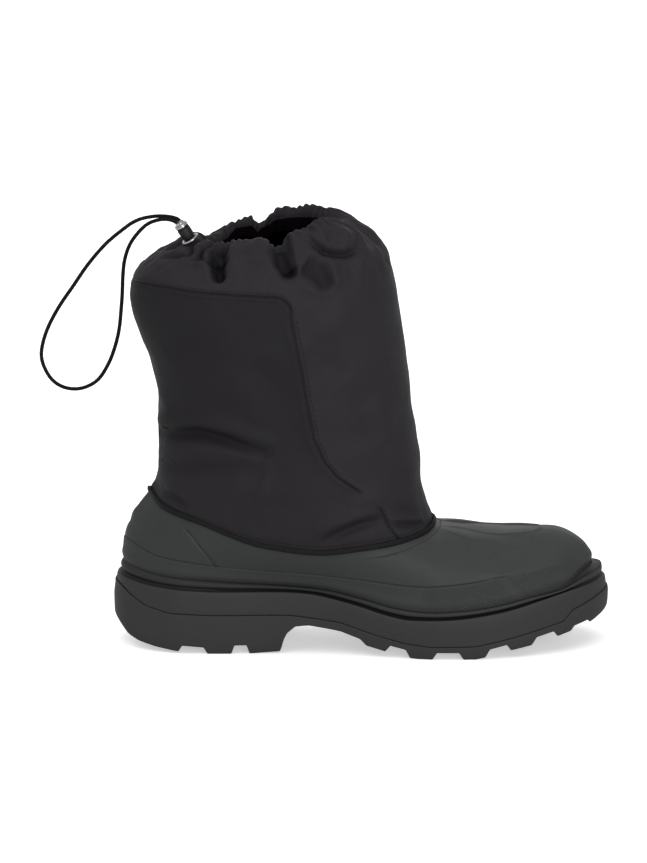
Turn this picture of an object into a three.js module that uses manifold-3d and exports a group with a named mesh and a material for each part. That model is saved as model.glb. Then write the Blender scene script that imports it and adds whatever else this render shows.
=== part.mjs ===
// Right snow boot: lug sole, moulded rubber shell, padded shaft with a gathered collar and a drawcord.
// Millimetres, +Z up, +X to the toe, +Y to the inner (medial) side; z = 0 is the ground.
import * as THREE from "three";
import { mergeVertices } from "three/addons/utils/BufferGeometryUtils.js";
import Module from "manifold-3d";

const wasm = await Module();
wasm.setup();

// ---------------------------------------------------------------- driving dimensions
const SOLE_LENGTH = 318;
const COLUMNS = 64; // faces round each closed ring
const JOINT_GAP = 0.3; // between pieces that meet
const SHELL_WALL = 2.2;
const SHAFT_WALL = 3.0;
const INSOLE_THICKNESS = 4;
const LEDGE_DEPTH = 3; // the shell's ledge below the rim of the sole
const PLEATS = 16; // gathers round the collar
const PLEAT_DEPTH = 1.7;
const CORD_DIAMETER = 2.5;
const EYELET_RADIUS = 4.9;
const EYELET_WIRE = 0.9;
const BARREL_RADIUS = 4.3;
const BARREL_LENGTH = 9.5;
const BARREL_LIFT = 0.1; // foot of the barrel above the middle of the eyelet's wire

// Widest outline of the sole seen from above.
const OUTLINE = [
  { x: 0, lateral: 0, medial: 0 },
  { x: 10, lateral: 24, medial: 24 },
  { x: 25, lateral: 34, medial: 34 },
  { x: 45, lateral: 39.5, medial: 39 },
  { x: 70, lateral: 40.2, medial: 37.5 },
  { x: 100, lateral: 38.8, medial: 33.5 },
  { x: 130, lateral: 40, medial: 32.5 },
  { x: 160, lateral: 45.6, medial: 38 },
  { x: 190, lateral: 52.4, medial: 47 },
  { x: 215, lateral: 55.4, medial: 53.7 },
  { x: 238, lateral: 54.3, medial: 55.4 },
  { x: 262, lateral: 49.4, medial: 52.6 },
  { x: 283, lateral: 41, medial: 45 },
  { x: 300, lateral: 30, medial: 33.6 },
  { x: 312, lateral: 15.5, medial: 20 },
  { x: 318, lateral: -2.5, medial: 2.5 },
];

// Side view of the tread: lowest line of the lugs from heel to toe, with heel breast and arch.
const TREAD = [
  { x: -4, z: 23 },
  { x: 0, z: 19 },
  { x: 8.6, z: 9 },
  { x: 15, z: 6 },
  { x: 26, z: 3.5 },
  { x: 41, z: 1.3 },
  { x: 58, z: 0 },
  { x: 89, z: 0 },
  { x: 107.6, z: 1.4 },
  { x: 109, z: 8 },
  { x: 111.6, z: 13.6 },
  { x: 117, z: 18.2 },
  { x: 125, z: 19.2 },
  { x: 146, z: 16 },
  { x: 159, z: 11.4 },
  { x: 163, z: 7.2 },
  { x: 175.5, z: 4 },
  { x: 194, z: 0 },
  { x: 234, z: 0 },
  { x: 241, z: 1.6 },
  { x: 257, z: 5.2 },
  { x: 270.5, z: 7.6 },
  { x: 287.8, z: 11.6 },
  { x: 296.4, z: 13.8 },
  { x: 308, z: 16.8 },
  { x: 316, z: 20.4 },
  { x: 323, z: 26 },
];

// Smooth lowest line used for the slope of the sole's side wall.
const UNDERSIDE = [
  { x: 0, z: 15 },
  { x: 26, z: 3.5 },
  { x: 60, z: 0 },
  { x: 100, z: 1 },
  { x: 146, z: 6 },
  { x: 194, z: 0 },
  { x: 234, z: 0 },
  { x: 270, z: 7.6 },
  { x: 296, z: 13.8 },
  { x: 318, z: 22 },
];

// Heights along the foot: parting line of outsole and midsole, top of the sole's side wall,
// top of the rolled rim, and footbed.
const PARTING = [
  { x: -4, z: 42 },
  { x: 3, z: 40.5 },
  { x: 11, z: 35 },
  { x: 20, z: 30 },
  { x: 34, z: 26.5 },
  { x: 60, z: 25.5 },
  { x: 115, z: 25.3 },
  { x: 146, z: 21.4 },
  { x: 169, z: 14.2 },
  { x: 189, z: 9.6 },
  { x: 204, z: 8 },
  { x: 234, z: 8.4 },
  { x: 257, z: 13 },
  { x: 281, z: 18.6 },
  { x: 291, z: 20.8 },
  { x: 297, z: 27.4 },
  { x: 305, z: 30.4 },
  { x: 322, z: 37 },
];
const WALL_TOP = [
  { x: 0, z: 46.4 },
  { x: 30, z: 42.8 },
  { x: 66, z: 40.9 },
  { x: 112, z: 40.6 },
  { x: 127, z: 39.6 },
  { x: 141, z: 36.9 },
  { x: 159, z: 32.6 },
  { x: 176, z: 27.8 },
  { x: 192, z: 25.3 },
  { x: 215, z: 25.9 },
  { x: 250, z: 30.3 },
  { x: 277, z: 36.5 },
  { x: 300, z: 41.2 },
  { x: 318, z: 43.2 },
];
const RIM_TOP = [
  { x: 0, z: 55.5 },
  { x: 8, z: 54.6 },
  { x: 30, z: 50.6 },
  { x: 66, z: 47.6 },
  { x: 134, z: 42.9 },
  { x: 159, z: 38 },
  { x: 182, z: 32.6 },
  { x: 204, z: 30.6 },
  { x: 226, z: 31.8 },
  { x: 250, z: 35 },
  { x: 271, z: 39.5 },
  { x: 289, z: 43.8 },
  { x: 305, z: 51 },
  { x: 318, z: 54.5 },
];
const FOOTBED = [
  { x: 0, z: 36.5 },
  { x: 70, z: 35 },
  { x: 112, z: 33.5 },
  { x: 150, z: 26 },
  { x: 190, z: 20 },
  { x: 235, z: 20 },
  { x: 275, z: 25.5 },
  { x: 318, z: 34 },
];

// Side wall of the sole, bottom to top: part of the height from underside to wall top, and set-in.
const OUTSOLE_WALL = [
  { part: -0.3, inset: 6.2 },
  { part: 0, inset: 4.4 },
  { part: 0.12, inset: 2.6 },
  { part: 0.32, inset: 1.0 },
  { part: 0.62, inset: 0.1 },
  { part: 0.86, inset: 0 },
  { part: 1.04, inset: 0.5 },
];
const MIDSOLE_WALL = [
  { part: 0.1, inset: 3.2 },
  { part: 0.34, inset: 1.9 },
  { part: 0.66, inset: 1.0 },
  { part: 0.93, inset: 1.4 },
  { part: 1, inset: 2.3 },
];
// Rolled rim above the wall top: part of the height from wall top to rim top, and set-in.
const RIM = [
  { part: 0.1, inset: 3.6 },
  { part: 0.36, inset: 2.6 },
  { part: 0.7, inset: 2.8 },
  { part: 0.95, inset: 3.9 },
  { part: 1, inset: 4.9 },
];
const LEDGE = [
  { lift: LEDGE_DEPTH - 0.6, inset: 5.5 },
  { lift: 0, inset: 5.6 },
  { lift: 0, inset: 9.4 },
];
const SHELL_FOOT_INSET = 6;
const CUP_INSET = 9.8;
const TOE_SET_IN = { from: 296, to: 316, more: 2.6 }; // the rim draws in round the toe tip
const HEEL_SET_IN = { from: 34, to: 2, more: 0.9 };

// Gaps between lugs across the sole: centre at the edge, width below and above, depth, forward sweep.
const LUG_GAPS = [
  { x: 50.6, wide: 19, narrow: 14, depth: 4.2, sweep: 0 },
  { x: 81.6, wide: 11.6, narrow: 8, depth: 5.6, sweep: 0 },
  { x: 183, wide: 16, narrow: 10.6, depth: 4.8, sweep: 9 },
  { x: 215.8, wide: 20.4, narrow: 14.4, depth: 4.6, sweep: 9 },
  { x: 248.6, wide: 16.8, narrow: 11, depth: 4.6, sweep: 9 },
  { x: 279.2, wide: 17.2, narrow: 11, depth: 4.4, sweep: 7 },
  { x: 302.2, wide: 11.6, narrow: 8, depth: 2.6, sweep: 4 },
];
// Channels along the sole: from, to, sideways place, width, depth.
const CHANNELS = [
  { from: 166, to: 292, y: -19, width: 6, depth: 3.6 },
  { from: 166, to: 292, y: 19, width: 6, depth: 3.6 },
  { from: 14, to: 100, y: 0, width: 9, depth: 3.6 },
];

// Shell sections from the heel (along = 0) round one side to the toe (along = 1): place of the topline,
// then the two handles of the section's curve, out and up from its foot and from its top.
const SHELL_SECTIONS = [
  { along: 0, x: 22.9, y: 0, z: 99.7, footOut: 0.2, footUp: 17, topOut: 12, topUp: -12.7 },
  { along: 0.1, x: 31, y: 20, z: 94, footOut: 0.8, footUp: 16, topOut: 9, topUp: -12 },
  { along: 0.2, x: 54, y: 36.6, z: 87.4, footOut: 3, footUp: 14, topOut: 3, topUp: -13 },
  { along: 0.32, x: 98, y: 43.4, z: 72.4, footOut: 3.4, footUp: 9, topOut: 0.4, topUp: -10 },
  { along: 0.42, x: 134, y: 44, z: 68.1, footOut: 3, footUp: 9, topOut: 0.6, topUp: -9 },
  { along: 0.5, x: 160, y: 42.6, z: 70.6, footOut: 1.6, footUp: 11, topOut: 3, topUp: -7 },
  { along: 0.58, x: 181, y: 37.4, z: 73.1, footOut: 1, footUp: 14, topOut: 8, topUp: -3.4 },
  { along: 0.67, x: 194, y: 28.6, z: 74.8, footOut: 0.8, footUp: 18, topOut: 16, topUp: 0 },
  { along: 0.77, x: 201, y: 18.4, z: 76.4, footOut: 0.8, footUp: 22, topOut: 31, topUp: 0 },
  { along: 0.87, x: 204, y: 9, z: 78.4, footOut: 0.6, footUp: 23, topOut: 62, topUp: -1 },
  { along: 1, x: 204.6, y: 0, z: 79, footOut: 0.4, footUp: 21.5, topOut: 88, topUp: -2 },
];
const SHELL_OUTER_ROWS = [0, 0.08, 0.17, 0.27, 0.38, 0.5, 0.61, 0.71, 0.8, 0.88, 0.95, 1];
const SHELL_INNER_ROWS = [1, 0.86, 0.68, 0.5, 0.34, 0.17, 0];

// Shaft rings from the ankle up: mean height, back and front ends, half width, squareness (2 = ellipse),
// share of the collar's lift, share of the pleats, and sideways shift to the inner side.
const SHAFT_RINGS = [
  { z: 126, back: 28.7, front: 197.4, half: 49, square: 2.4, lift: 0, pleat: 0, shift: 0 },
  { z: 158, back: 28.6, front: 192.4, half: 50.4, square: 2.4, lift: 0, pleat: 0, shift: 0 },
  { z: 188, back: 22.8, front: 189, half: 51.6, square: 2.4, lift: 0, pleat: 0, shift: 0 },
  { z: 212, back: 14.6, front: 185.8, half: 52.4, square: 2.4, lift: 0, pleat: 0, shift: 0 },
  { z: 230, back: 10.5, front: 183.4, half: 52.6, square: 2.4, lift: 0, pleat: 0, shift: 0 },
  { z: 240, back: 12.4, front: 181.4, half: 52, square: 2.4, lift: 0, pleat: 0, shift: 0 },
  { z: 247, back: 14.6, front: 180, half: 51, square: 2.4, lift: 0.06, pleat: 0.15, shift: 0 },
  { z: 258, back: 25, front: 176.4, half: 46.6, square: 2.3, lift: 0.2, pleat: 0.4, shift: 0.5 },
  { z: 267, back: 36, front: 169.5, half: 40.5, square: 2.2, lift: 0.5, pleat: 0.8, shift: 1 },
  { z: 273.5, back: 44.5, front: 160, half: 35.5, square: 2.1, lift: 0.85, pleat: 1, shift: 1 },
  { z: 275.5, back: 51, front: 150, half: 31.6, square: 2, lift: 1, pleat: 1, shift: 1 },
  { z: 272, back: 55.5, front: 143.5, half: 28.8, square: 2, lift: 0.9, pleat: 0.9, shift: 1 },
  { z: 262, back: 57.5, front: 141.5, half: 27.8, square: 2, lift: 0.6, pleat: 0.5, shift: 1 },
];
// How the top of the collar rises and falls along the boot.
const COLLAR_LIFT = [
  { x: 40, z: -7 },
  { x: 66, z: -6.4 },
  { x: 84, z: -4 },
  { x: 100, z: 1 },
  { x: 114, z: 6 },
  { x: 132, z: 7 },
  { x: 148, z: 5 },
  { x: 168, z: 0 },
];
const ANKLE_ROWS = [0, 0.05, 0.14, 0.32, 0.62]; // parts of the way from the topline to the first ring
const SHAFT_LIP = [
  { along: 0, out: 0.7, lift: 0.4 },
  { along: 0.3, out: 0.8, lift: 0.4 },
  { along: 0.6, out: 1.2, lift: 0.5 },
  { along: 0.85, out: 2.2, lift: 0.7 },
  { along: 1, out: 2.8, lift: 0.8 },
];

// Where the eyelet sits on the collar: part of the way round from the back, and ring row.
const EYELET_PLACE = { along: 0.1, row: 14.3 };

// Free drawcord loop from the lock out behind the boot and back, x and z, with y for each point.
const CORD_ROUTE = [
  { x: 41.4, y: -12, z: 282.9 },
  { x: 40.1, y: -12.1, z: 283.5 },
  { x: 36.3, y: -11.9, z: 284.4 },
  { x: 31.3, y: -11.7, z: 284.8 },
  { x: 26.7, y: -11.4, z: 284.6 },
  { x: 18, y: -11, z: 282.9 },
  { x: 11.5, y: -10.5, z: 279.8 },
  { x: 5.9, y: -10.1, z: 275.5 },
  { x: -0.5, y: -9.6, z: 270.2 },
  { x: -6.3, y: -9, z: 264.6 },
  { x: -16.7, y: -8.6, z: 252 },
  { x: -26.2, y: -8.1, z: 237.8 },
  { x: -35.8, y: -7.7, z: 223.3 },
  { x: -42.7, y: -7.4, z: 209.9 },
  { x: -46.2, y: -7.1, z: 199 },
  { x: -47.1, y: -7, z: 191 },
  { x: -45.4, y: -6.9, z: 183.8 },
  { x: -40.1, y: -7.1, z: 175 },
  { x: -33.2, y: -7.3, z: 170.4 },
  { x: -25.4, y: -7.6, z: 169.1 },
  { x: -18.4, y: -7.9, z: 170.5 },
  { x: -10.6, y: -8.3, z: 175.4 },
  { x: -3.7, y: -8.7, z: 186.2 },
  { x: 0.6, y: -9.1, z: 197.7 },
  { x: 3.3, y: -9.5, z: 209.4 },
  { x: 4.6, y: -9.9, z: 222.1 },
  { x: 5.4, y: -10.3, z: 232.9 },
  { x: 5.9, y: -10.8, z: 245.6 },
  { x: 7.2, y: -11.2, z: 256.4 },
  { x: 11.1, y: -11.7, z: 267.2 },
  { x: 18.9, y: -12.1, z: 277.2 },
  { x: 23.2, y: -12.7, z: 280.5 },
  { x: 27.6, y: -13.5, z: 282.3 },
  { x: 32, y: -14.3, z: 283.3 },
  { x: 36.2, y: -14.8, z: 283.1 },
  { x: 39.0, y: -15.2, z: 282.3 },
];

const COLOURS = {
  rubberSole: { color: 0x3a3837, roughness: 0.75, metalness: 0 },
  rubberMidsole: { color: 0x3b3a39, roughness: 0.72, metalness: 0 },
  rubberShell: { color: 0x383b3a, roughness: 0.6, metalness: 0 },
  nylon: { color: 0x262326, roughness: 0.65, metalness: 0 },
  felt: { color: 0x4a4a4a, roughness: 0.95, metalness: 0 },
  blackPlastic: { color: 0x121212, roughness: 0.4, metalness: 0 },
  chrome: { color: 0xd8d8d8, roughness: 0.2, metalness: 1 },
  elastic: { color: 0x151515, roughness: 0.8, metalness: 0 },
};

// ---------------------------------------------------------------- curves through tables
// A smooth curve through rows that never overshoots them; ends are held.
function through(rows, key, value) {
  const n = rows.length;
  const at = rows.map((row) => row[key]);
  const v = rows.map((row) => row[value]);
  const slope = [];
  for (let i = 0; i < n - 1; i += 1) {
    slope.push((v[i + 1] - v[i]) / (at[i + 1] - at[i]));
  }
  const tangent = slope.map((s, i) => {
    if (i === 0 || slope[i - 1] * s <= 0) {
      return i === 0 ? s : 0;
    }
    const before = at[i] - at[i - 1];
    const after = at[i + 1] - at[i];
    const w = (2 * after + before) / (3 * (after + before));
    return (slope[i - 1] * s) / (w * s + (1 - w) * slope[i - 1]);
  });
  tangent.push(slope[n - 2]);
  return (t) => {
    const u = Math.min(Math.max(t, at[0]), at[n - 1]);
    let i = 0;
    while (i < n - 2 && u > at[i + 1]) {
      i += 1;
    }
    const h = at[i + 1] - at[i];
    const f = (u - at[i]) / h;
    const g = 1 - f;
    const ends = v[i] * (1 + 2 * f) * g * g + v[i + 1] * f * f * (3 - 2 * f);
    return ends + h * f * g * (tangent[i] * g - tangent[i + 1] * f);
  };
}

function smoothstep(from, to, x) {
  const t = Math.min(Math.max((x - from) / (to - from), 0), 1);
  return t * t * (3 - 2 * t);
}

const lerp = (a, b, t) => a + (b - a) * t;

// ---------------------------------------------------------------- plan outline of the sole
// The outline is read by an angle that is 0 at the heel and pi at the toe, so both ends are round.
const byAngle = OUTLINE.map((row) => ({
  angle: Math.acos(1 - (2 * row.x) / SOLE_LENGTH),
  lateral: -row.lateral,
  medial: row.medial,
}));
const lateralAt = through(byAngle, "angle", "lateral");
const medialAt = through(byAngle, "angle", "medial");

function outlineAt(angle, medial) {
  const x = (SOLE_LENGTH / 2) * (1 - Math.cos(angle));
  return [x, medial ? medialAt(angle) : lateralAt(angle)];
}

// One side's outline, measured along its length: angle for a part (0..1) of the way from heel to toe.
function evenAngles(medial) {
  const steps = 720;
  const table = [{ part: 0, angle: 0 }];
  let before = outlineAt(0, medial);
  let run = 0;
  for (let i = 1; i <= steps; i += 1) {
    const angle = (Math.PI * i) / steps;
    const now = outlineAt(angle, medial);
    run += Math.hypot(now[0] - before[0], now[1] - before[1]);
    table.push({ part: run, angle });
    before = now;
  }
  table.forEach((row) => {
    row.part /= run;
  });
  return (part) => {
    let i = 1;
    while (i < steps && table[i].part < part) {
      i += 1;
    }
    const a = table[i - 1];
    const b = table[i];
    return lerp(a.angle, b.angle, Math.min(Math.max((part - a.part) / (b.part - a.part), 0), 1));
  };
}
const lateralAngle = evenAngles(false);
const medialAngle = evenAngles(true);

// turn: 0 at the heel, 0.5 at the toe, back to 1 at the heel; the lateral side comes first.
function outlinePoint(turn) {
  const t = ((turn % 1) + 1) % 1;
  if (t <= 0.5) {
    return outlineAt(lateralAngle(t * 2), false);
  }
  return outlineAt(medialAngle((1 - t) * 2), true);
}

function outward(curve, turn, step = 0.004) {
  const a = curve(turn - step);
  const b = curve(turn + step);
  const run = Math.hypot(b[0] - a[0], b[1] - a[1]);
  return [(b[1] - a[1]) / run, -(b[0] - a[0]) / run];
}

function insetPoint(turn, inset) {
  const p = outlinePoint(turn);
  const n = outward(outlinePoint, turn);
  return [p[0] - n[0] * inset, p[1] - n[1] * inset];
}

const underside = through(UNDERSIDE, "x", "z");
const wallTop = through(WALL_TOP, "x", "z");
const rimTop = through(RIM_TOP, "x", "z");
const footbed = through(FOOTBED, "x", "z");

// Extra set-in of rim and shell round the toe tip and the heel.
function endSetIn(x) {
  const toe = smoothstep(TOE_SET_IN.from, TOE_SET_IN.to, x) * TOE_SET_IN.more;
  return toe + smoothstep(HEEL_SET_IN.from, HEEL_SET_IN.to, x) * HEEL_SET_IN.more;
}

// Height of the ledge that the shell stands on, level across its width.
function ledgeHeight(turn) {
  return rimTop(insetPoint(turn, SHELL_FOOT_INSET)[0]) - LEDGE_DEPTH;
}

// ---------------------------------------------------------------- lofts
// A closed ring of points, one for each column.
function ringOf(point) {
  return Array.from({ length: COLUMNS }, (_, j) => point(j / COLUMNS));
}

function geometryOf(points, faces) {
  const geometry = new THREE.BufferGeometry();
  geometry.setAttribute("position", new THREE.Float32BufferAttribute(points.flat(), 3));
  geometry.setIndex(faces);
  return geometry;
}

function addBand(faces, low, high, count) {
  for (let j = 0; j < count; j += 1) {
    const k = (j + 1) % count;
    faces.push(low + j, low + k, high + k, low + j, high + k, high + j);
  }
}

// Strips across a ring, between the points at the same place on its two sides.
function addCap(faces, start, count, up) {
  for (let j = 0; j < count / 2; j += 1) {
    const a = start + j;
    const b = start + j + 1;
    const c = start + ((count - j - 1) % count);
    const d = start + ((count - j) % count);
    const pair = j === 0 ? [[a, b, c]] : [[a, b, c], [a, c, d]];
    const last = j === count / 2 - 1 ? [[a, b, d]] : pair;
    last.forEach(([p, q, r]) => faces.push(...(up ? [p, q, r] : [p, r, q])));
  }
}

// A solid of rings, capped below and above.
function cappedLoft(rings) {
  const faces = [];
  for (let i = 0; i < rings.length - 1; i += 1) {
    addBand(faces, i * COLUMNS, (i + 1) * COLUMNS, COLUMNS);
  }
  addCap(faces, 0, COLUMNS, false);
  addCap(faces, (rings.length - 1) * COLUMNS, COLUMNS, true);
  return geometryOf(rings.flat(), faces);
}

// A hollow wall of rings: up the outside, over the top, down the inside and closed at the bottom.
function wallLoft(rings) {
  const faces = [];
  rings.forEach((ring, i) => {
    addBand(faces, i * COLUMNS, ((i + 1) % rings.length) * COLUMNS, COLUMNS);
  });
  return geometryOf(rings.flat(), faces);
}

// ---------------------------------------------------------------- cutting
function solidOf(geometry) {
  const bare = geometry.clone();
  bare.deleteAttribute("normal");
  bare.deleteAttribute("uv");
  const merged = mergeVertices(bare, 1e-3);
  return new wasm.Manifold(
    new wasm.Mesh({
      numProp: 3,
      vertProperties: merged.attributes.position.array,
      triVerts: new Uint32Array(merged.index.array),
    }),
  );
}

function geometryFrom(solid) {
  const mesh = solid.getMesh();
  const geometry = new THREE.BufferGeometry();
  geometry.setAttribute("position", new THREE.Float32BufferAttribute(mesh.vertProperties, 3));
  geometry.setIndex(Array.from(mesh.triVerts));
  return geometry;
}

// A bar across the boot whose side view is the given outline, from one y to another; sweep carries its
// middle forward.
function crossBar(outline, fromY, toY, sweep = 0) {
  const ccw = THREE.ShapeUtils.area(outline.map(([x, z]) => new THREE.Vector2(x, z))) > 0;
  const side = ccw ? outline : [...outline].reverse();
  const n = side.length;
  const places = sweep === 0 ? [fromY, toY] : [fromY, (fromY + toY) / 2, toY];
  const points = places.flatMap((y, i) => {
    const shift = i === 1 ? sweep : -sweep * 0.6;
    return side.map(([x, z]) => [x + (sweep === 0 ? 0 : shift), y, z]);
  });
  const faces = [];
  for (let i = 0; i < places.length - 1; i += 1) {
    addBand(faces, (i + 1) * n, i * n, n);
  }
  const flat = THREE.ShapeUtils.triangulateShape(side.map(([x, z]) => new THREE.Vector2(x, z)), []);
  const end = (places.length - 1) * n;
  flat.forEach(([a, b, c]) => {
    faces.push(a, b, c);
    faces.push(end + a, end + c, end + b);
  });
  return solidOf(geometryOf(points, faces));
}

function straightAt(rows, x) {
  let i = 0;
  while (i < rows.length - 2 && x > rows[i + 1].x) {
    i += 1;
  }
  return lerp(rows[i].z, rows[i + 1].z, (x - rows[i].x) / (rows[i + 1].x - rows[i].x));
}

const WIDE = 80; // half length of a bar that crosses the whole boot

// ---------------------------------------------------------------- outsole and midsole
function wallRing({ part, inset }) {
  return ringOf((turn) => {
    const [x, y] = insetPoint(turn, inset);
    return [x, y, lerp(underside(x), wallTop(x), part)];
  });
}

function makeOutsole() {
  const blank = solidOf(cappedLoft(OUTSOLE_WALL.map(wallRing)));
  const side = [...TREAD.map(({ x, z }) => [x, z]), ...PARTING.map(({ x, z }) => [x, z]).reverse()];
  let sole = blank.intersect(crossBar(side, -WIDE, WIDE));
  LUG_GAPS.forEach(({ x, wide, narrow, depth, sweep }) => {
    const z = straightAt(TREAD, x);
    const slope = (straightAt(TREAD, x + 8) - straightAt(TREAD, x - 8)) / 16;
    const corner = (dx, up) => [x + dx - slope * up, z + slope * dx + up];
    const gap = [
      corner(-wide / 2 - 1.2, -3),
      corner(wide / 2 + 1.2, -3),
      corner(narrow / 2, depth),
      corner(-narrow / 2, depth),
    ];
    sole = sole.subtract(crossBar(gap, -WIDE, WIDE, sweep));
  });
  CHANNELS.forEach(({ from, to, y, width, depth }) => {
    const xs = [from, ...TREAD.map((row) => row.x).filter((x) => x > from && x < to), to];
    const low = xs.map((x) => [x, straightAt(TREAD, x) - 3]);
    const high = xs.map((x) => [x, straightAt(TREAD, x) + depth]).reverse();
    sole = sole.subtract(crossBar([...low, ...high], y - width / 2, y + width / 2));
  });
  return geometryFrom(sole);
}

function makeMidsole() {
  const rings = MIDSOLE_WALL.map(wallRing);
  RIM.forEach(({ part, inset }) => {
    rings.push(
      ringOf((turn) => {
        const far = inset + endSetIn(outlinePoint(turn)[0]) * part;
        const [x, y] = insetPoint(turn, far);
        return [x, y, lerp(wallTop(x), rimTop(x), part)];
      }),
    );
  });
  LEDGE.forEach(({ lift, inset }) => {
    rings.push(
      ringOf((turn) => {
        const [x, y] = insetPoint(turn, inset + endSetIn(outlinePoint(turn)[0]));
        return [x, y, ledgeHeight(turn) + lift];
      }),
    );
  });
  rings.push(
    ringOf((turn) => {
      const [x, y] = insetPoint(turn, CUP_INSET + endSetIn(outlinePoint(turn)[0]));
      return [x, y, footbed(x)];
    }),
  );
  const parting = PARTING.map(({ x, z }) => [x, z + JOINT_GAP]);
  const above = [...parting, [340, 37.3], [340, 90], [-20, 90], [-20, 42.3]];
  return geometryFrom(solidOf(cappedLoft(rings)).intersect(crossBar(above, -WIDE, WIDE)));
}

function makeInsole() {
  const level = (inset, up) =>
    ringOf((turn) => {
      const [x, y] = insetPoint(turn, inset + endSetIn(outlinePoint(turn)[0]));
      return [x, y, footbed(x) + up];
    });
  const low = CUP_INSET + 1.2;
  return cappedLoft([
    level(low, JOINT_GAP),
    level(low, INSOLE_THICKNESS - 0.6),
    level(low + 0.8, INSOLE_THICKNESS + JOINT_GAP),
  ]);
}

// ---------------------------------------------------------------- shell
const section = Object.fromEntries(
  Object.keys(SHELL_SECTIONS[0])
    .filter((key) => key !== "along")
    .map((key) => [key, through(SHELL_SECTIONS, "along", key)]),
);

function alongOf(turn) {
  const t = ((turn % 1) + 1) % 1;
  return t <= 0.5 ? { along: t * 2, sign: -1 } : { along: (1 - t) * 2, sign: 1 };
}

function toplinePoint(turn) {
  const { along, sign } = alongOf(turn);
  return [section.x(along), sign * section.y(along), section.z(along)];
}

// A point of the shell's outer face: turn round the foot, t from its foot (0) to its topline (1).
function shellPoint(turn, t) {
  const { along } = alongOf(turn);
  const fo = section.footOut(along);
  const footInset = SHELL_FOOT_INSET + endSetIn(outlinePoint(turn)[0]) + fo * 0.32;
  const [fx, fy] = insetPoint(turn, footInset);
  const fz = ledgeHeight(turn) + JOINT_GAP;
  const top = toplinePoint(turn);
  const footN = outward(outlinePoint, turn);
  const topN = outward(toplinePoint, turn, 0.01);
  const a = [fx, fy, fz];
  const to = section.topOut(along);
  const b = [fx + footN[0] * fo, fy + footN[1] * fo, fz + section.footUp(along)];
  const c = [top[0] + topN[0] * to, top[1] + topN[1] * to, top[2] + section.topUp(along)];
  const s = 1 - t;
  const weights = [s * s * s, 3 * s * s * t, 3 * s * t * t, t * t * t];
  return [0, 1, 2].map((k) => a[k] * weights[0] + b[k] * weights[1] + c[k] * weights[2] + top[k] * weights[3]);
}

// The point pushed in through the wall, at right angles to the surface.
function pushedIn(surface, u, v, depth, du = 0.003, dv = 0.02) {
  const v0 = Math.max(v - dv, 0);
  const v1 = Math.min(v + dv, surface.top ?? 1);
  const p = new THREE.Vector3(...surface.at(u, v));
  const round = new THREE.Vector3(...surface.at(u + du, v)).sub(new THREE.Vector3(...surface.at(u - du, v)));
  const up = new THREE.Vector3(...surface.at(u, v1)).sub(new THREE.Vector3(...surface.at(u, v0)));
  const normal = round.cross(up).normalize();
  return p.addScaledVector(normal, -depth).toArray();
}

function makeShell() {
  const surface = { at: shellPoint, top: 1 };
  const rings = SHELL_OUTER_ROWS.map((t) => ringOf((turn) => shellPoint(turn, t)));
  SHELL_INNER_ROWS.forEach((t) => {
    rings.push(
      ringOf((turn) => {
        const p = pushedIn(surface, turn, t, SHELL_WALL);
        return t === 0 ? [p[0], p[1], ledgeHeight(turn) + JOINT_GAP] : p;
      }),
    );
  });
  return wallLoft(rings);
}

// ---------------------------------------------------------------- shaft
// The topline read evenly along its length, so the shaft's columns are evenly spaced.
function evenTurns(curve) {
  const steps = 960;
  const table = [{ part: 0, turn: 0 }];
  let before = curve(0);
  let run = 0;
  for (let i = 1; i <= steps; i += 1) {
    const now = curve(i / steps);
    run += Math.hypot(now[0] - before[0], now[1] - before[1]);
    table.push({ part: run, turn: i / steps });
    before = now;
  }
  return (part) => {
    const goal = (((part % 1) + 1) % 1) * run;
    let i = 1;
    while (i < steps && table[i].part < goal) {
      i += 1;
    }
    const a = table[i - 1];
    const b = table[i];
    return lerp(a.turn, b.turn, (goal - a.part) / (b.part - a.part));
  };
}
const evenTopline = evenTurns(toplinePoint);
const lipOut = through(SHAFT_LIP, "along", "out");
const lipLift = through(SHAFT_LIP, "along", "lift");

function lipPoint(turn) {
  const real = evenTopline(turn);
  const { along } = alongOf(real);
  const p = toplinePoint(real);
  const n = outward(toplinePoint, real, 0.01);
  return [p[0] + n[0] * lipOut(along), p[1] + n[1] * lipOut(along), p[2] + lipLift(along)];
}

// A level ring of the shaft, evenly spaced, the same way round as the topline.
function superEllipse({ back, front, half, square, shift }) {
  const raw = (turn) => {
    const a = turn * Math.PI * 2;
    const c = Math.cos(a);
    const s = Math.sin(a);
    const x = (back + front) / 2 - ((front - back) / 2) * Math.sign(c) * Math.abs(c) ** (2 / square);
    return [x, shift - half * Math.sign(s) * Math.abs(s) ** (2 / square)];
  };
  const even = evenTurns(raw);
  return (turn) => raw(even(turn));
}

const collarLift = through(COLLAR_LIFT, "x", "z");
const ringCurves = SHAFT_RINGS.map(superEllipse);
const ringAt = SHAFT_RINGS.map((row, i) => (turn, pleated) => {
  const [x, y] = ringCurves[i](turn);
  const n = outward(ringCurves[i], turn, 0.01);
  const { along } = alongOf(turn);
  const calm = turn < 0.5 ? smoothstep(0.16, 0.24, along) : smoothstep(0.02, 0.08, along);
  const wave = Math.cos(turn * PLEATS * Math.PI * 2) * row.pleat * PLEAT_DEPTH * calm * (pleated ? 1 : 0);
  const z = row.z + row.lift * collarLift(x);
  return [x + n[0] * wave, y + n[1] * wave, z + wave * 0.5];
});

const ANKLE = ANKLE_ROWS.length;
const LAST_ROW = ANKLE + SHAFT_RINGS.length - 1;

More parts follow.
